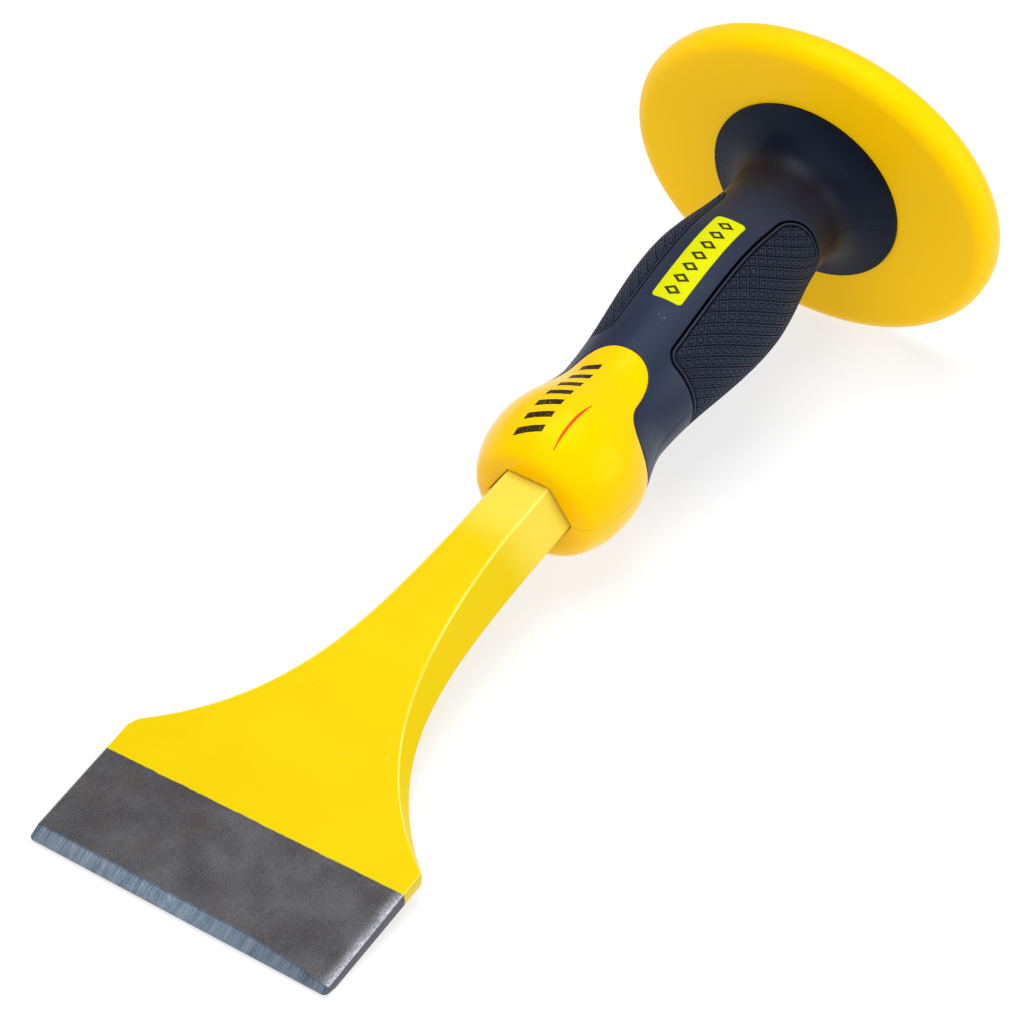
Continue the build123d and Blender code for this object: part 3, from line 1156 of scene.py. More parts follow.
class Graph:
    """Short words for making the nodes of one shader tree."""

    def __init__(self, tree: bpy.types.NodeTree) -> None:
        """Keep the tree that nodes are added to."""
        self.tree = tree

    def node(self, kind: str, **settings: object) -> bpy.types.Node:
        """Add a node.

        Args:
            kind: Blender's name for the kind.
            **settings: Properties to set on it.

        Returns:
            The node.
        """
        made = self.tree.nodes.new(kind)
        for name, value in settings.items():
            setattr(made, name, value)
        return made

    def feed(self, socket: Socket, value: object) -> None:
        """Link a socket to another, or set its value.

        Args:
            socket: The socket that is fed.
            value: A socket, a plain value, or None to leave it.
        """
        if isinstance(value, Socket):
            self.tree.links.new(value, socket)
        elif value is not None:
            socket.default_value = value

    def math(self, operation: str, first: Value, second: Value = 0.0, third: Value = 0.0) -> Socket:
        """The result of a sum on one, two or three numbers.

        Args:
            operation: Name of the sum, as Blender has it.
            first: First number.
            second: Second number, where the sum has one.
            third: Third number, where the sum has one.

        Returns:
            The result.
        """
        made = self.node("ShaderNodeMath", operation=operation)
        for socket, value in zip(made.inputs, (first, second, third)):
            self.feed(socket, value)
        return made.outputs[0]

    def plus(self, first: Value, second: Value) -> Socket:
        """First plus second."""
        return self.math("ADD", first, second)

    def minus(self, first: Value, second: Value) -> Socket:
        """First minus second."""
        return self.math("SUBTRACT", first, second)

    def times(self, first: Value, second: Value) -> Socket:
        """First times second."""
        return self.math("MULTIPLY", first, second)

    def times_plus(self, first: Value, second: Value, third: Value) -> Socket:
        """First times second, plus third."""
        return self.math("MULTIPLY_ADD", first, second, third)

    def absolute(self, value: Value) -> Socket:
        """A number without its sign."""
        return self.math("ABSOLUTE", value)

    def step(self, value: Value, low: Value, high: Value, start: float = 0.0, end: float = 1.0) -> Socket:
        """A smooth step.

        Args:
            value: The number that is judged.
            low: Where the step begins.
            high: Where it ends.
            start: Result at low and beyond.
            end: Result at high and beyond.

        Returns:
            The result.
        """
        made = self.node("ShaderNodeMapRange", interpolation_type="SMOOTHSTEP")
        names = ("Value", "From Min", "From Max", "To Min", "To Max")
        for name, given in zip(names, (value, low, high, start, end)):
            self.feed(made.inputs[name], given)
        return made.outputs["Result"]

    def noise(self, place: Socket, scale: float, detail: float = 3.0, rough: float = 0.55) -> Socket:
        """Smooth noise.

        Args:
            place: Where it is read.
            scale: Waves per metre.
            detail: How many finer layers are added.
            rough: Strength of each finer layer.

        Returns:
            The noise, from 0 to 1.
        """
        made = self.node("ShaderNodeTexNoise")
        self.feed(made.inputs["Vector"], place)
        for name, given in zip(("Scale", "Detail", "Roughness"), (scale, detail, rough)):
            made.inputs[name].default_value = given
        return made.outputs["Fac"]

    def stretch(self, place: Socket, scale: tuple, move: tuple = (0, 0, 0)) -> Socket:
        """A place scaled and moved, for patterns that run one way.

        Args:
            place: The place.
            scale: Scale along each axis.
            move: Shift along each axis.

        Returns:
            The new place.
        """
        made = self.node("ShaderNodeMapping")
        self.feed(made.inputs["Vector"], place)
        made.inputs["Scale"].default_value = scale
        made.inputs["Location"].default_value = move
        return made.outputs["Vector"]

    def mix(self, share: Value, first: object, second: object) -> Socket:
        """A mix of two colours.

        Args:
            share: 0 for all of the first, 1 for all of the second.
            first: First colour.
            second: Second colour.

        Returns:
            The mixed colour.
        """
        made = self.node("ShaderNodeMix", data_type="RGBA")
        for socket, value in zip((made.inputs[0], made.inputs[6], made.inputs[7]), (share, first, second)):
            self.feed(socket, value)
        return made.outputs[2]

    def spots(self, place: Socket, scale: float) -> Socket:
        """Scattered points.

        Args:
            place: Where they are read.
            scale: Cells per metre.

        Returns:
            Distance from the nearest point, in cells.
        """
        made = self.node("ShaderNodeTexVoronoi")
        self.feed(made.inputs["Vector"], place)
        made.inputs["Scale"].default_value = scale
        return made.outputs["Distance"]

    def bump(self, height: Socket, distance: float, strength: float = 1.0) -> Socket:
        """A normal tilted by a height.

        Args:
            height: The height, from 0 to about 1.
            distance: How far a height of 1 stands out.
            strength: Share of the tilt that is used.

        Returns:
            The normal.
        """
        made = self.node("ShaderNodeBump")
        self.feed(made.inputs["Height"], height)
        made.inputs["Distance"].default_value = distance
        made.inputs["Strength"].default_value = strength
        return made.outputs["Normal"]

    def solid_place(self) -> Socket:
        """Object coordinates."""
        return self.node("ShaderNodeTexCoord").outputs["Object"]

    def chart_place(self) -> tuple[Socket, Socket, Socket]:
        """The piece's own chart.

        Returns:
            The place on it, and its first and second number alone.
        """
        made = self.node("ShaderNodeUVMap", uv_map=CHART)
        split = self.node("ShaderNodeSeparateXYZ")
        self.feed(split.inputs[0], made.outputs["UV"])
        return made.outputs["UV"], split.outputs["X"], split.outputs["Y"]

    def worn(self) -> Socket:
        """The value kept on the mesh: wear on the bar, distance from the parting line on the nose, height
        on the pads, and painted shade in the sleeve's gap.
        """
        return self.node("ShaderNodeAttribute", attribute_name=WEAR_AND_SHADE).outputs["Fac"]

    def use(self, group: bpy.types.NodeTree, **values: object) -> bpy.types.Node:
        """Place a group.

        Args:
            group: The group's tree.
            **values: A value or socket for each input, with _ for a space.

        Returns:
            The group's node.
        """
        made = self.node("ShaderNodeGroup", node_tree=group)
        for name, value in values.items():
            self.feed(made.inputs[name.replace("_", " ")], value)
        return made


def new_group(
    name: str, inputs: dict[str, tuple[str, object]], outputs: dict[str, str]
) -> tuple[Graph, bpy.types.Node, bpy.types.Node]:
    """Start a shader group.

    Args:
        name: Name of the group.
        inputs: Kind of socket and starting value, by name.
        outputs: Kind of socket, by name.

    Returns:
        The group's tree as a Graph, and its input and output nodes.
    """
    tree = bpy.data.node_groups.new(name, "ShaderNodeTree")
    for label, (kind, value) in inputs.items():
        socket = tree.interface.new_socket(name=label, in_out="INPUT", socket_type=kind)
        if value is not None:
            socket.default_value = value
    for label, kind in outputs.items():
        tree.interface.new_socket(name=label, in_out="OUTPUT", socket_type=kind)
    graph = Graph(tree)
    return graph, graph.node("NodeGroupInput"), graph.node("NodeGroupOutput")


FLOAT, VECTOR = "NodeSocketFloat", "NodeSocketVector"


def moulded_grain() -> bpy.types.NodeTree:
    """Group: the fine skin of a moulding, as a height, with a slow waviness and a patchy tone.

    Returns:
        The group.
    """
    graph, given, out = new_group(
        "moulded_grain",
        {"Place": (VECTOR, None), "Grain": (FLOAT, 0.5), "Wave": (FLOAT, 0.5)},
        {"Height": FLOAT, "Tone": FLOAT},
    )
    fine = graph.noise(given.outputs["Place"], 5200.0, 2.0)
    slow = graph.noise(given.outputs["Place"], 130.0, 2.0)
    height = graph.times(fine, given.outputs["Grain"])
    graph.feed(out.inputs["Height"], graph.times_plus(slow, given.outputs["Wave"], height))
    graph.feed(out.inputs["Tone"], graph.step(graph.noise(given.outputs["Place"], 60.0, 4.0), 0.3, 0.7))
    return graph.tree


def dust_and_scuffs() -> bpy.types.NodeTree:
    """Group: small pale specks, and short faint scuffs, each as a mask.

    Returns:
        The group.
    """
    graph, given, out = new_group(
        "dust_and_scuffs",
        {"Place": (VECTOR, None), "Specks": (FLOAT, 0.5), "Scuffs": (FLOAT, 0.5)},
        {"Specks": FLOAT, "Scuffs": FLOAT},
    )
    place = given.outputs["Place"]
    size = graph.times(graph.step(graph.noise(place, 210.0, 1.0), 0.52, 0.75), 0.13)
    speck = graph.step(graph.spots(place, 430.0), size, graph.times(size, 0.5))
    graph.feed(out.inputs["Specks"], graph.times(speck, given.outputs["Specks"]))
    streak = graph.noise(graph.stretch(place, (260.0, 1700.0, 900.0)), 1.0, 2.0)
    patch = graph.step(graph.noise(place, 70.0, 2.0), 0.55, 0.72)
    scuff = graph.times(graph.step(streak, 0.64, 0.72), patch)
    graph.feed(out.inputs["Scuffs"], graph.times(scuff, given.outputs["Scuffs"]))
    return graph.tree


class Effect(Enum):
    """Shader groups that several finishes share."""

    GRAIN = "moulded_grain"
    DUST = "dust_and_scuffs"

    def tree(self) -> bpy.types.NodeTree:
        """Make the group on first use.

        Returns:
            The group.
        """
        made = bpy.data.node_groups.get(self.value)
        makers = {Effect.GRAIN: moulded_grain, Effect.DUST: dust_and_scuffs}
        return made or makers[self]()


@dataclass(frozen=True)
class Finish:
    """A finish: its name, and what all finishes share in making a material."""

    name: str = "finish"
    sheen: float = 0.5
    sheen_tint: tuple = (1.0, 1.0, 1.0, 1.0)

    def material(self) -> bpy.types.Material:
        """Make the material on first use.

        Returns:
            The material, with its sheen set and its other sockets filled in by dress.
        """
        made = bpy.data.materials.get(self.name)
        if made is None:
            made = bpy.data.materials.new(self.name)
            made.use_nodes = True
            made.node_tree.nodes.clear()
            graph = Graph(made.node_tree)
            shader = graph.node("ShaderNodeBsdfPrincipled")
            out = graph.node("ShaderNodeOutputMaterial")
            graph.feed(out.inputs["Surface"], shader.outputs["BSDF"])
            shader.inputs["Specular IOR Level"].default_value = self.sheen
            shader.inputs["Specular Tint"].default_value = self.sheen_tint
            self.dress(graph, shader)
        return made

    def dress(self, graph: Graph, shader: bpy.types.Node) -> None:
        """Fill in the shader's sockets.

        Args:
            graph: The material's graph.
            shader: Its Principled BSDF.
        """
        raise NotImplementedError


@dataclass(frozen=True)
class PaintedSteel(Finish):
    """Yellow gloss paint on forged steel, bare and mottled over the blade's end."""

    name: str = "painted_forged_steel"
    sheen: float = 0.28
    sheen_tint: tuple = (1.0, 0.75, 0.0, 1.0)
    paint: tuple = (0.67, 0.475, 0.0005, 1.0)
    warm_paint: tuple = (0.69, 0.50, 0.001, 1.0)
    rubbed_and_highlit_paint: tuple = (0.88, 0.78, 0.2, 1.0)
    steel: tuple = colour(83, 83, 87)
    dark_steel: tuple = colour(56, 55, 59)
    brown_steel: tuple = colour(72, 63, 58)
    polished: tuple = colour(188, 192, 200)
    wall: tuple = colour(92, 96, 128)
    ground: tuple = colour(138, 152, 168)
    ground_dark: tuple = colour(60, 76, 94)
    ridge_shade_colour: tuple = colour(44, 52, 70)
    paint_from: float = 25.35 * MM
    paint_slant: float = 0.017
    bevel: float = 3.2 * MM
    half_width: float = 34.9 * MM

    def bare(self, graph: Graph, station: Socket, across: Socket) -> tuple[Socket, Socket, Socket]:
        """The bare steel: mottled, browner in patches, polished towards -Y, and ground on the bevel, with a
        painted blue-grey reflection on the -Y side wall and a painted dark shade line along the bevel's
        ridge.

        Args:
            graph: The material's graph.
            station: Station along the tool.
            across: Distance across the blade.

        Returns:
            Its colour, how much of the ground bevel there is, and the height of its marks.
        """
        place = graph.solid_place()
        speckle = graph.step(graph.noise(place, 2600.0, 4.0, 0.7), 0.3, 0.7)
        cloud = graph.step(graph.noise(place, 90.0, 4.0, 0.6), 0.3, 0.7)
        tone = graph.times_plus(speckle, 0.6, graph.times(cloud, 0.4))
        steel = graph.mix(tone, self.dark_steel, self.steel)
        moved = graph.stretch(place, (1, 1, 1), (3, 1, 2))
        rust = graph.step(graph.noise(moved, 120.0, 6.0), 0.5, 0.72, 0.0, 0.5)
        away = graph.step(across, -20 * MM, 30 * MM, 0.35, 1.0)
        steel = graph.mix(graph.times(rust, away), steel, self.brown_steel)
        aside = graph.minus(graph.times(across, -1.0), self.half_width)
        band = graph.step(aside, -3.8 * MM, 0.3 * MM)
        fine = graph.step(graph.noise(place, 3000.0, 4.0, 0.75), 0.36, 0.64, 0.15, 1.0)
        worn = graph.times(graph.math("POWER", band, 2.2), fine)
        steel = graph.mix(graph.times(worn, 0.95), steel, self.polished)
        steel = graph.mix(graph.times(graph.step(graph.worn(), 0.5, 1.0), 0.3), steel, self.polished)
        # Painted reflection: the -Y side wall gets a brighter blue-grey than the steel around it.
        steel = graph.mix(graph.step(aside, -0.16 * MM, -0.12 * MM), steel, self.wall)
        drift = graph.noise(graph.stretch(graph.chart_place()[0], (60.0, 420.0, 1.0)), 1.0, 2.0)
        lines = graph.noise(graph.stretch(graph.chart_place()[0], (150.0, 7000.0, 1.0)), 1.0, 4.0, 0.7)
        cut = graph.times_plus(graph.minus(drift, 0.5), 0.4, lines)
        ground = graph.mix(graph.step(cut, 0.25, 0.78), self.ground_dark, self.ground)
        ragged = graph.times(graph.minus(graph.noise(place, 900.0, 3.0), 0.5), 0.35 * MM)
        behind = graph.minus(graph.plus(station, ragged), self.bevel)
        on_bevel = graph.step(behind, 0.08 * MM, -0.08 * MM)
        steel = graph.mix(on_bevel, steel, ground)
        # Painted shade: a thin dark navy line along the crease at the top of the bevel.
        ridge_shade = graph.step(graph.absolute(graph.plus(behind, 0.14 * MM)), 0.26 * MM, 0.05 * MM)
        steel = graph.mix(graph.times(ridge_shade, 0.6), steel, self.ridge_shade_colour)
        marks = graph.times(graph.times(lines, on_bevel), 0.9)
        return steel, on_bevel, graph.times_plus(speckle, 0.35, marks)

    def coat(self, graph: Graph, gap: Socket, station: Socket) -> tuple[Socket, Socket]:
        """The paint: its tone drifts, its ridges are painted pale, partly as rubbed wear and partly as a
        painted highlight, and it thins to a green-yellow edge.

        Args:
            graph: The material's graph.
            gap: Distance behind the paint's edge.
            station: Station along the tool.

        Returns:
            Its colour, and how pale it is painted, by rubbing and by the painted highlight on its ridges.
        """
        place = graph.solid_place()
        soft_rub = graph.step(graph.noise(place, 60.0, 2.0), 0.3, 0.7, 0.35, 1.0)
        # Painted highlight and wear: the ridges are painted pale, partly as rubbed paint and partly as a
        # highlight along them.
        ridge = graph.times(graph.times(graph.step(graph.worn(), 0.8, 1.0), soft_rub), 0.75)
        effects = graph.use(Effect.DUST.tree(), Place=place, Specks=0.5, Scuffs=0.8)
        tone = graph.step(graph.noise(place, 45.0, 1.0), 0.2, 0.8)
        coat = graph.mix(tone, self.paint, self.warm_paint)
        handled = graph.step(station, 101 * MM, 113 * MM, 0.0, 0.3)
        pale = graph.math("MAXIMUM", ridge, graph.times(effects.outputs["Scuffs"], 0.8))
        coat = graph.mix(graph.math("MAXIMUM", pale, handled), coat, self.rubbed_and_highlit_paint)
        rub = graph.step(graph.noise(place, 1400.0, 3.0), 0.4, 0.62, 0.3, 0.85)
        fringe = graph.times(graph.step(gap, 0.45 * MM, 0.0), rub)
        return graph.mix(fringe, coat, colour(170, 172, 30)), pale

    def dress(self, graph: Graph, shader: bpy.types.Node) -> None:
        """Masks by station part the bare steel from the paint, and the strike face is bare again.

        Args:
            graph: The material's graph.
            shader: Its Principled BSDF.
        """
        place = graph.solid_place()
        _, station, across = graph.chart_place()
        wander = graph.times(graph.minus(graph.noise(place, 420.0, 4.0), 0.5), 0.5 * MM)
        line = graph.plus(graph.times_plus(across, -self.paint_slant, self.paint_from), wander)
        gap = graph.minus(station, line)
        struck = graph.step(station, 251.9 * MM, 252.5 * MM, 1.0, 0.0)
        paint = graph.times(graph.step(gap, -0.08 * MM, 0.14 * MM), struck)
        bare, on_bevel, marks = self.bare(graph, station, across)
        coat, pale = self.coat(graph, gap, station)
        uncovered = graph.minus(1.0, paint)
        graph.feed(shader.inputs["Base Color"], graph.mix(paint, bare, coat))
        graph.feed(shader.inputs["Metallic"], graph.times(uncovered, 0.85))
        blotch = graph.noise(place, 190.0, 5.0)
        steel_rough = graph.times_plus(on_bevel, -0.1, graph.step(blotch, 0.3, 0.7, 0.44, 0.56))
        paint_rough = graph.step(graph.noise(place, 40.0, 1.0), 0.2, 0.8, 0.27, 0.33)
        rough = graph.times_plus(graph.minus(paint_rough, steel_rough), paint, steel_rough)
        graph.feed(shader.inputs["Roughness"], graph.times_plus(pale, 0.15, rough))
        peel = graph.times(graph.noise(place, 650.0, 3.0), 0.3)
        forged = graph.times_plus(graph.noise(place, 160.0, 3.0), 1.1, peel)
        height = graph.times_plus(paint, 1.2, graph.times_plus(marks, uncovered, forged))
        graph.feed(shader.inputs["Normal"], graph.bump(height, 0.05 * MM, 0.9))


@dataclass(frozen=True)
class GlossMoulding(Finish):
    """Hard yellow plastic, with a printed row of plain slanted bars and a thin red line."""

    name: str = "gloss_yellow_moulding"
    sheen: float = 0.25
    sheen_tint: tuple = (1.0, 0.75, 0.0, 1.0)
    body: tuple = (0.93, 0.53, 0.0005, 1.0)
    ink: tuple = colour(30, 28, 24)
    red: tuple = colour(214, 52, 28)
    bars_from: float = 129.0 * MM
    bars_to: float = 157.0 * MM
    bar_pitch: float = 4.0 * MM

    def dress(self, graph: Graph, shader: bpy.types.Node) -> None:
        """Bars are where the slanted station's share of a pitch is low, between two arcs.

        Args:
            graph: The material's graph.
            shader: Its Principled BSDF.
        """
        place = graph.solid_place()
        _, station, arc = graph.chart_place()
        effects = graph.use(Effect.DUST.tree(), Place=place, Specks=0.35, Scuffs=0.4)
        grain = graph.use(Effect.GRAIN.tree(), Place=place, Grain=0.12, Wave=0.9)
        blur = 0.06 * MM
        leaning = graph.times_plus(arc, 0.42, graph.minus(station, self.bars_from))
        share = graph.math("FRACT", graph.math("DIVIDE", leaning, self.bar_pitch))
        off = graph.absolute(graph.minus(share, 0.3))
        bar = graph.step(off, 0.235, 0.215)
        middle = graph.times_plus(graph.minus(station, self.bars_from), 0.02, 3.6 * MM)
        half = graph.times_plus(graph.minus(station, self.bars_from), -0.035, 2.9 * MM)
        height = graph.minus(graph.absolute(graph.minus(arc, middle)), half)
        bar = graph.times(bar, graph.step(height, blur, -blur))
        length = self.bars_to - self.bars_from
        start = graph.step(leaning, -blur, blur)
        end = graph.step(leaning, length + blur, length - blur)
        bar = graph.times(bar, graph.times(start, end))
        red_at = graph.times_plus(graph.minus(station, 133.7 * MM), -0.03, -3.4 * MM)
        sway = graph.times(graph.math("POWER", graph.minus(station, 133.7 * MM), 2.0), -9.0)
        red_off = graph.absolute(graph.minus(graph.minus(arc, red_at), sway))
        red_along = graph.absolute(graph.minus(station, 133.7 * MM))
        thin = graph.step(red_along, 2.0 * MM, 7.2 * MM, 0.34 * MM, 0.13 * MM)
        red = graph.step(graph.minus(red_off, thin), 0.05 * MM, -0.05 * MM)
        red = graph.times(red, graph.step(red_along, 7.1 * MM, 6.9 * MM))
        patchy = graph.step(graph.noise(place, 2400.0, 3.0), 0.28, 0.42, 0.55, 1.0)
        body = graph.mix(graph.times(grain.outputs["Tone"], 0.6), self.body, (0.92, 0.55, 0.0005, 1.0))
        body = graph.mix(graph.times(effects.outputs["Scuffs"], 0.5), body, colour(255, 232, 110))
        body = graph.mix(graph.times(bar, patchy), body, self.ink)
        body = graph.mix(red, body, self.red)
        beside = graph.times(graph.worn(), PARTING_REACH)
        parting_line = graph.step(beside, 0.2 * MM, 0.02 * MM)
        body = graph.mix(graph.times(parting_line, 0.25), body, colour(150, 100, 0))
        graph.feed(shader.inputs["Base Color"], body)
        rough = graph.step(grain.outputs["Tone"], 0.0, 1.0, 0.2, 0.27)
        graph.feed(shader.inputs["Roughness"], graph.times_plus(bar, 0.14, rough))
        film = graph.times(graph.math("MAXIMUM", bar, red), 0.5)
        lift = graph.plus(grain.outputs["Height"], film)
        lift = graph.times_plus(parting_line, -2.5, lift)
        graph.feed(shader.inputs["Normal"], graph.bump(lift, 0.03 * MM, 0.7))


@dataclass(frozen=True)
class SatinMoulding(Finish):
    """The guard's softer yellow plastic, with a fine sheen and small nicks on its rim."""

    name: str = "satin_yellow_moulding"
    sheen: float = 0.25
    sheen_tint: tuple = (1.0, 0.75, 0.0, 1.0)
    body: tuple = (0.95, 0.55, 0.001, 1.0)

    def dress(self, graph: Graph, shader: bpy.types.Node) -> None:
        """Tone and roughness drift slowly. Nicks are the highest peaks of a noise near the rim.

        Args:
            graph: The material's graph.
            shader: Its Principled BSDF.
        """
        place = graph.solid_place()
        _, across, up = graph.chart_place()
        effects = graph.use(Effect.DUST.tree(), Place=place, Specks=0.5, Scuffs=0.6)
        grain = graph.use(Effect.GRAIN.tree(), Place=place, Grain=0.35, Wave=0.8)
        wide = graph.math("POWER", graph.math("DIVIDE", across, 45.5 * MM), 2.0)
        high = graph.math("POWER", graph.math("DIVIDE", up, 39.0 * MM), 2.0)
        out = graph.math("SQRT", graph.plus(wide, high))
        rim = graph.step(out, 0.93, 0.985)
        nick = graph.times(rim, graph.step(graph.noise(place, 520.0, 2.0), 0.74, 0.8))
        body = graph.mix(graph.times(grain.outputs["Tone"], 0.7), self.body, (0.92, 0.55, 0.001, 1.0))
        body = graph.mix(graph.times(effects.outputs["Scuffs"], 0.45), body, colour(255, 230, 120))
        body = graph.mix(graph.times(nick, 0.8), body, colour(168, 118, 20))
        body = graph.mix(effects.outputs["Specks"], body, colour(222, 200, 150))
        graph.feed(shader.inputs["Base Color"], body)
        graph.feed(shader.inputs["Roughness"], graph.step(grain.outputs["Tone"], 0.0, 1.0, 0.34, 0.44))
        height = graph.minus(grain.outputs["Height"], graph.times(nick, 1.5))
        graph.feed(shader.inputs["Normal"], graph.bump(height, 0.04 * MM, 0.8))


@dataclass(frozen=True)
class SoftRubber(Finish):
    """The sleeve's blue-black moulding, satin, with a painted browner sheen down the neck, painted shade at
    the flange by the guard, and painted shade in the gap round each pad.
    """

    name: str = "satin_sleeve_rubber"
    sheen: float = 0.15
    sheen_tint: tuple = (0.62, 0.76, 1.0, 1.0)
    body: tuple = (0.021, 0.028, 0.052, 1.0)
    neck: tuple = (0.008, 0.0065, 0.009, 1.0)

    def dress(self, graph: Graph, shader: bpy.types.Node) -> None:
        """Fine grain, dust specks and faint scuffs over a tone that drifts; by station the tone is painted
        browner down the neck as painted sheen, and near black at the flange as painted shade.

        Args:
            graph: The material's graph.
            shader: Its Principled BSDF.
        """
        place = graph.solid_place()
        _, station, _ = graph.chart_place()
        effects = graph.use(Effect.DUST.tree(), Place=place, Specks=0.5, Scuffs=0.3)
        grain = graph.use(Effect.GRAIN.tree(), Place=place, Grain=0.8, Wave=0.5)
        # Painted sheen and shade: the tone turns browner down the neck and near black at the flange beside
        # the guard.
        body = graph.mix(graph.step(station, 205 * MM, 226 * MM), self.body, self.neck)
        body = graph.mix(graph.step(station, 226 * MM, 231.5 * MM), body, (0.001, 0.002, 0.009, 1.0))
        body = graph.mix(graph.times(grain.outputs["Tone"], 0.35), body, (0.011, 0.015, 0.031, 1.0))
        body = graph.mix(graph.times(effects.outputs["Scuffs"], 0.25), body, colour(104, 108, 120))
        body = graph.mix(graph.times(effects.outputs["Specks"], 0.9), body, colour(160, 162, 168))
        # Painted shade: near black where the kept value marks the gap round the pad.
        body = graph.mix(graph.worn(), body, (0.001, 0.001, 0.002, 1.0))
        graph.feed(shader.inputs["Base Color"], body)
        graph.feed(shader.inputs["Roughness"], graph.step(grain.outputs["Tone"], 0.0, 1.0, 0.36, 0.44))
        graph.feed(shader.inputs["Normal"], graph.bump(grain.outputs["Height"], 0.03 * MM, 0.8))


@dataclass(frozen=True)
class PadRubber(Finish):
    """The pads' matt rubber: painted shade darkens the pattern's grooves, and the rims are slightly
    polished.
    """

    name: str = "matt_pad_rubber"
    sheen: float = 0.22
    sheen_tint: tuple = (0.62, 0.76, 1.0, 1.0)
    top: tuple = (0.017, 0.022, 0.042, 1.0)
    groove: tuple = (0.006, 0.008, 0.017, 1.0)

    def dress(self, graph: Graph, shader: bpy.types.Node) -> None:
        """Colour and roughness follow the height kept in the wear value: lower points get painted shade,
        higher ones less roughness.

        Args:
            graph: The material's graph.
            shader: Its Principled BSDF.
        """
        place = graph.solid_place()
        high = graph.step(graph.worn(), 0.05, 0.9)
        effects = graph.use(Effect.DUST.tree(), Place=place, Specks=0.7, Scuffs=0.2)
        grain = graph.use(Effect.GRAIN.tree(), Place=place, Grain=1.0, Wave=0.2)
        # Painted shade: the grooves get a darker copy of the tops' colour.
        body = graph.mix(high, self.groove, self.top)
        body = graph.mix(graph.times(grain.outputs["Tone"], 0.3), body, (0.011, 0.014, 0.028, 1.0))
        body = graph.mix(graph.times(effects.outputs["Specks"], 0.8), body, colour(140, 142, 148))
        graph.feed(shader.inputs["Base Color"], body)
        graph.feed(shader.inputs["Roughness"], graph.step(high, 0.0, 1.0, 0.72, 0.5))
        graph.feed(shader.inputs["Normal"], graph.bump(grain.outputs["Height"], 0.03 * MM, 0.8))


@dataclass(frozen=True)
class LabelFilm(Finish):
    """The lemon label, printed with a plain row of black lozenges."""

    name: str = "lemon_label_film"
    sheen: float = 0.25
    sheen_tint: tuple = (1.0, 0.95, 0.0, 1.0)
    film: tuple = colour(204, 206, 4)
    ink: tuple = colour(28, 30, 28)
    pitch: float = 3.6 * MM

    def dress(self, graph: Graph, shader: bpy.types.Node) -> None:
        """A lozenge is where the distances along and across from its middle add up to little.

        Args:
            graph: The material's graph.
            shader: Its Principled BSDF.
        """
        place = graph.solid_place()
        _, station, across = graph.chart_place()
        grain = graph.use(Effect.GRAIN.tree(), Place=place, Grain=0.3, Wave=0.6)
        effects = graph.use(Effect.DUST.tree(), Place=place, Specks=0.4, Scuffs=0.5)
        from_middle = graph.minus(station, 189.1 * MM)
        cells = graph.math("DIVIDE", from_middle, self.pitch)
        along = graph.times(graph.absolute(graph.minus(cells, graph.math("ROUND", cells))), self.pitch)
        size = graph.times_plus(graph.absolute(across), 0.62, along)
        lozenge = graph.step(size, 1.36 * MM, 1.28 * MM)
        hole = graph.step(size, 0.62 * MM, 0.54 * MM)
        mark = graph.minus(lozenge, hole)
        mark = graph.times(mark, graph.step(graph.absolute(from_middle), 12.5 * MM, 12.4 * MM))
        patchy = graph.step(graph.noise(place, 2600.0, 3.0), 0.28, 0.44, 0.7, 1.0)
        body = graph.mix(graph.times(grain.outputs["Tone"], 0.5), self.film, colour(198, 202, 8))
        body = graph.mix(graph.times(effects.outputs["Scuffs"], 0.5), body, colour(250, 246, 150))
        graph.feed(shader.inputs["Base Color"], graph.mix(graph.times(mark, patchy), body, self.ink))
        graph.feed(shader.inputs["Roughness"], graph.step(grain.outputs["Tone"], 0.0, 1.0, 0.36, 0.46))
        lift = graph.times_plus(mark, 0.5, grain.outputs["Height"])
        graph.feed(shader.inputs["Normal"], graph.bump(lift, 0.03 * MM, 0.7))


@dataclass(frozen=True)
class PalePaper(Finish):
    """The studio's plain pale floor."""

    name: str = "pale_floor"
    sheen: float = 0.1
    tone: tuple = (0.29, 0.29, 0.29, 1.0)
    glow: float = 0.71
    glow_colour: tuple = (0.98, 0.988, 1.0, 1.0)

    def dress(self, graph: Graph, shader: bpy.types.Node) -> None:
        """A matt floor whose tone drifts by less than a hundredth.

        Args:
            graph: The material's graph.
            shader: Its Principled BSDF.
        """
        drift = graph.noise(graph.solid_place(), 3.0, 2.0)
        graph.feed(shader.inputs["Base Color"], graph.mix(drift, self.tone, (0.295, 0.295, 0.3, 1.0)))
        shader.inputs["Emission Color"].default_value = self.glow_colour
        shader.inputs["Emission Strength"].default_value = self.glow
        shader.inputs["Roughness"].default_value = 0.9


# ---------------------------------------------------------------- the studio


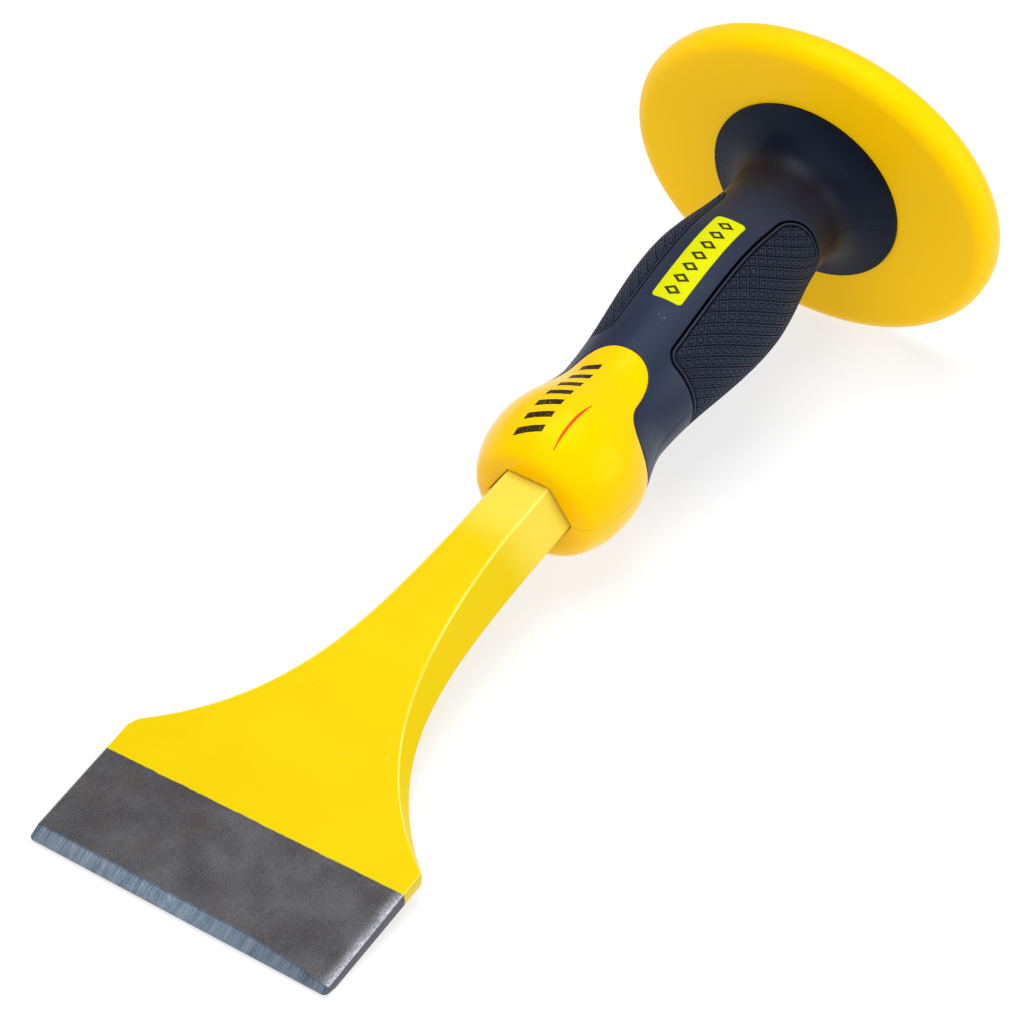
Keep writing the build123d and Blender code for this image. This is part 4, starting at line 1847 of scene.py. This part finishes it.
@dataclass
class Studio:
    """A pale floor, soft lights, and the camera."""

    target: Vector = field(default_factory=lambda: Vector((-12.15, 0.0, 23.79)) * MM)
    camera_from: Vector = field(default_factory=lambda: Vector((-536.84, -315.18, 540.30)) * MM)
    roll: float = math.radians(3.720)
    lens: float = 137.58
    floor_half: float = 3.0
    floor_at: float = -0.02 * MM
    surround: float = 0.36

    def build(self) -> None:
        """Make the floor, lights, surround and camera."""
        self.floor()
        self.light("overhead", Vector((0.05, 0.15, 1.3)), 1.0, 15.5)
        self.light("right_card", Vector((0.3, -1.1, 0.5)), 0.8, 7.0)
        self.light("front_card", Vector((-1.3, -0.1, 0.5)), 1.2, 7.0)
        world = bpy.data.worlds.new("surround")
        world.use_nodes = True
        sky = world.node_tree.nodes["Background"]
        sky.inputs["Color"].default_value = (1.0, 1.0, 1.0, 1.0)
        sky.inputs["Strength"].default_value = self.surround
        bpy.context.scene.world = world
        bpy.context.scene.view_settings.view_transform = "Standard"
        self.camera()

    def floor(self) -> None:
        """A square grid just under the tool."""
        side = np.linspace(-self.floor_half, self.floor_half, 9)
        along, across = np.meshgrid(side, side, indexing="ij")
        shell = Shell()
        place = np.stack([along, across, np.full_like(along, self.floor_at)], -1)
        shell.add_grid(place, np.stack([along, across], -1))
        piece = shell.finish("pale_floor")
        piece.data.materials.append(PalePaper().material())

    def light(self, name: str, place: Vector, size: float, power: float) -> None:
        """Add a square soft light that faces the tool.

        Args:
            name: Name of the light.
            place: Where it stands.
            size: Side of the square.
            power: Watts.
        """
        lamp = bpy.data.lights.new(name, "AREA")
        lamp.size, lamp.energy = size, power
        made = bpy.data.objects.new(name, lamp)
        made.location = place
        made.rotation_euler = (self.target - place).to_track_quat("-Z", "Y").to_euler()
        bpy.context.scene.collection.objects.link(made)

    def camera(self) -> None:
        """The camera looks at the target, turned a little about its own line of sight."""
        lens = bpy.data.cameras.new("camera")
        lens.lens, lens.sensor_width = self.lens, 36.0
        lens.clip_start, lens.clip_end = 0.05, 20.0
        made = bpy.data.objects.new("camera", lens)
        made.location = self.camera_from
        look = (self.target - self.camera_from).to_track_quat("-Z", "Y")
        made.rotation_mode = "QUATERNION"
        made.rotation_quaternion = look @ Quaternion((0.0, 0.0, 1.0), self.roll)
        bpy.context.scene.collection.objects.link(made)
        bpy.context.scene.camera = made


def main() -> None:
    """Build every piece in place of its CAD node, dress it, and report it."""
    logging.basicConfig(level=logging.INFO, format="%(name)s: %(message)s")
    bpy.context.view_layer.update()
    datum = ToolDatum.read(frame["record"])
    outline = HandleOutline()
    edge, plan = NoseEdge(outline), PadPlan(outline)
    pieces = (
        (ChiselBar(datum), "chisel_bar", "painted_steel", PaintedSteel()),
        (HandleCore(datum, outline, edge), "handle_core", "core_plastic", GlossMoulding()),
        (GripSleeve(datum, outline, edge, plan), "grip_sleeve", "sleeve_rubber", SoftRubber()),
        (GripPad(datum, outline, plan, 1.0), "grip_pad_left", "pad_rubber", PadRubber()),
        (GripPad(datum, outline, plan, -1.0), "grip_pad_right", "pad_rubber", PadRubber()),
        (Badge(datum, outline), "badge", "badge_plastic", LabelFilm()),
        (HandGuard(datum), "guard_disc", "guard_plastic", SatinMoulding()),
    )
    for maker, node, slot, finish in pieces:
        piece = settle(maker.build(), node, finish)
        piece.data.calc_loop_triangles()
        log.info("%s: %d triangles", piece.name, len(piece.data.loop_triangles))
    Studio().build()


if __name__ == "__main__":
    main()
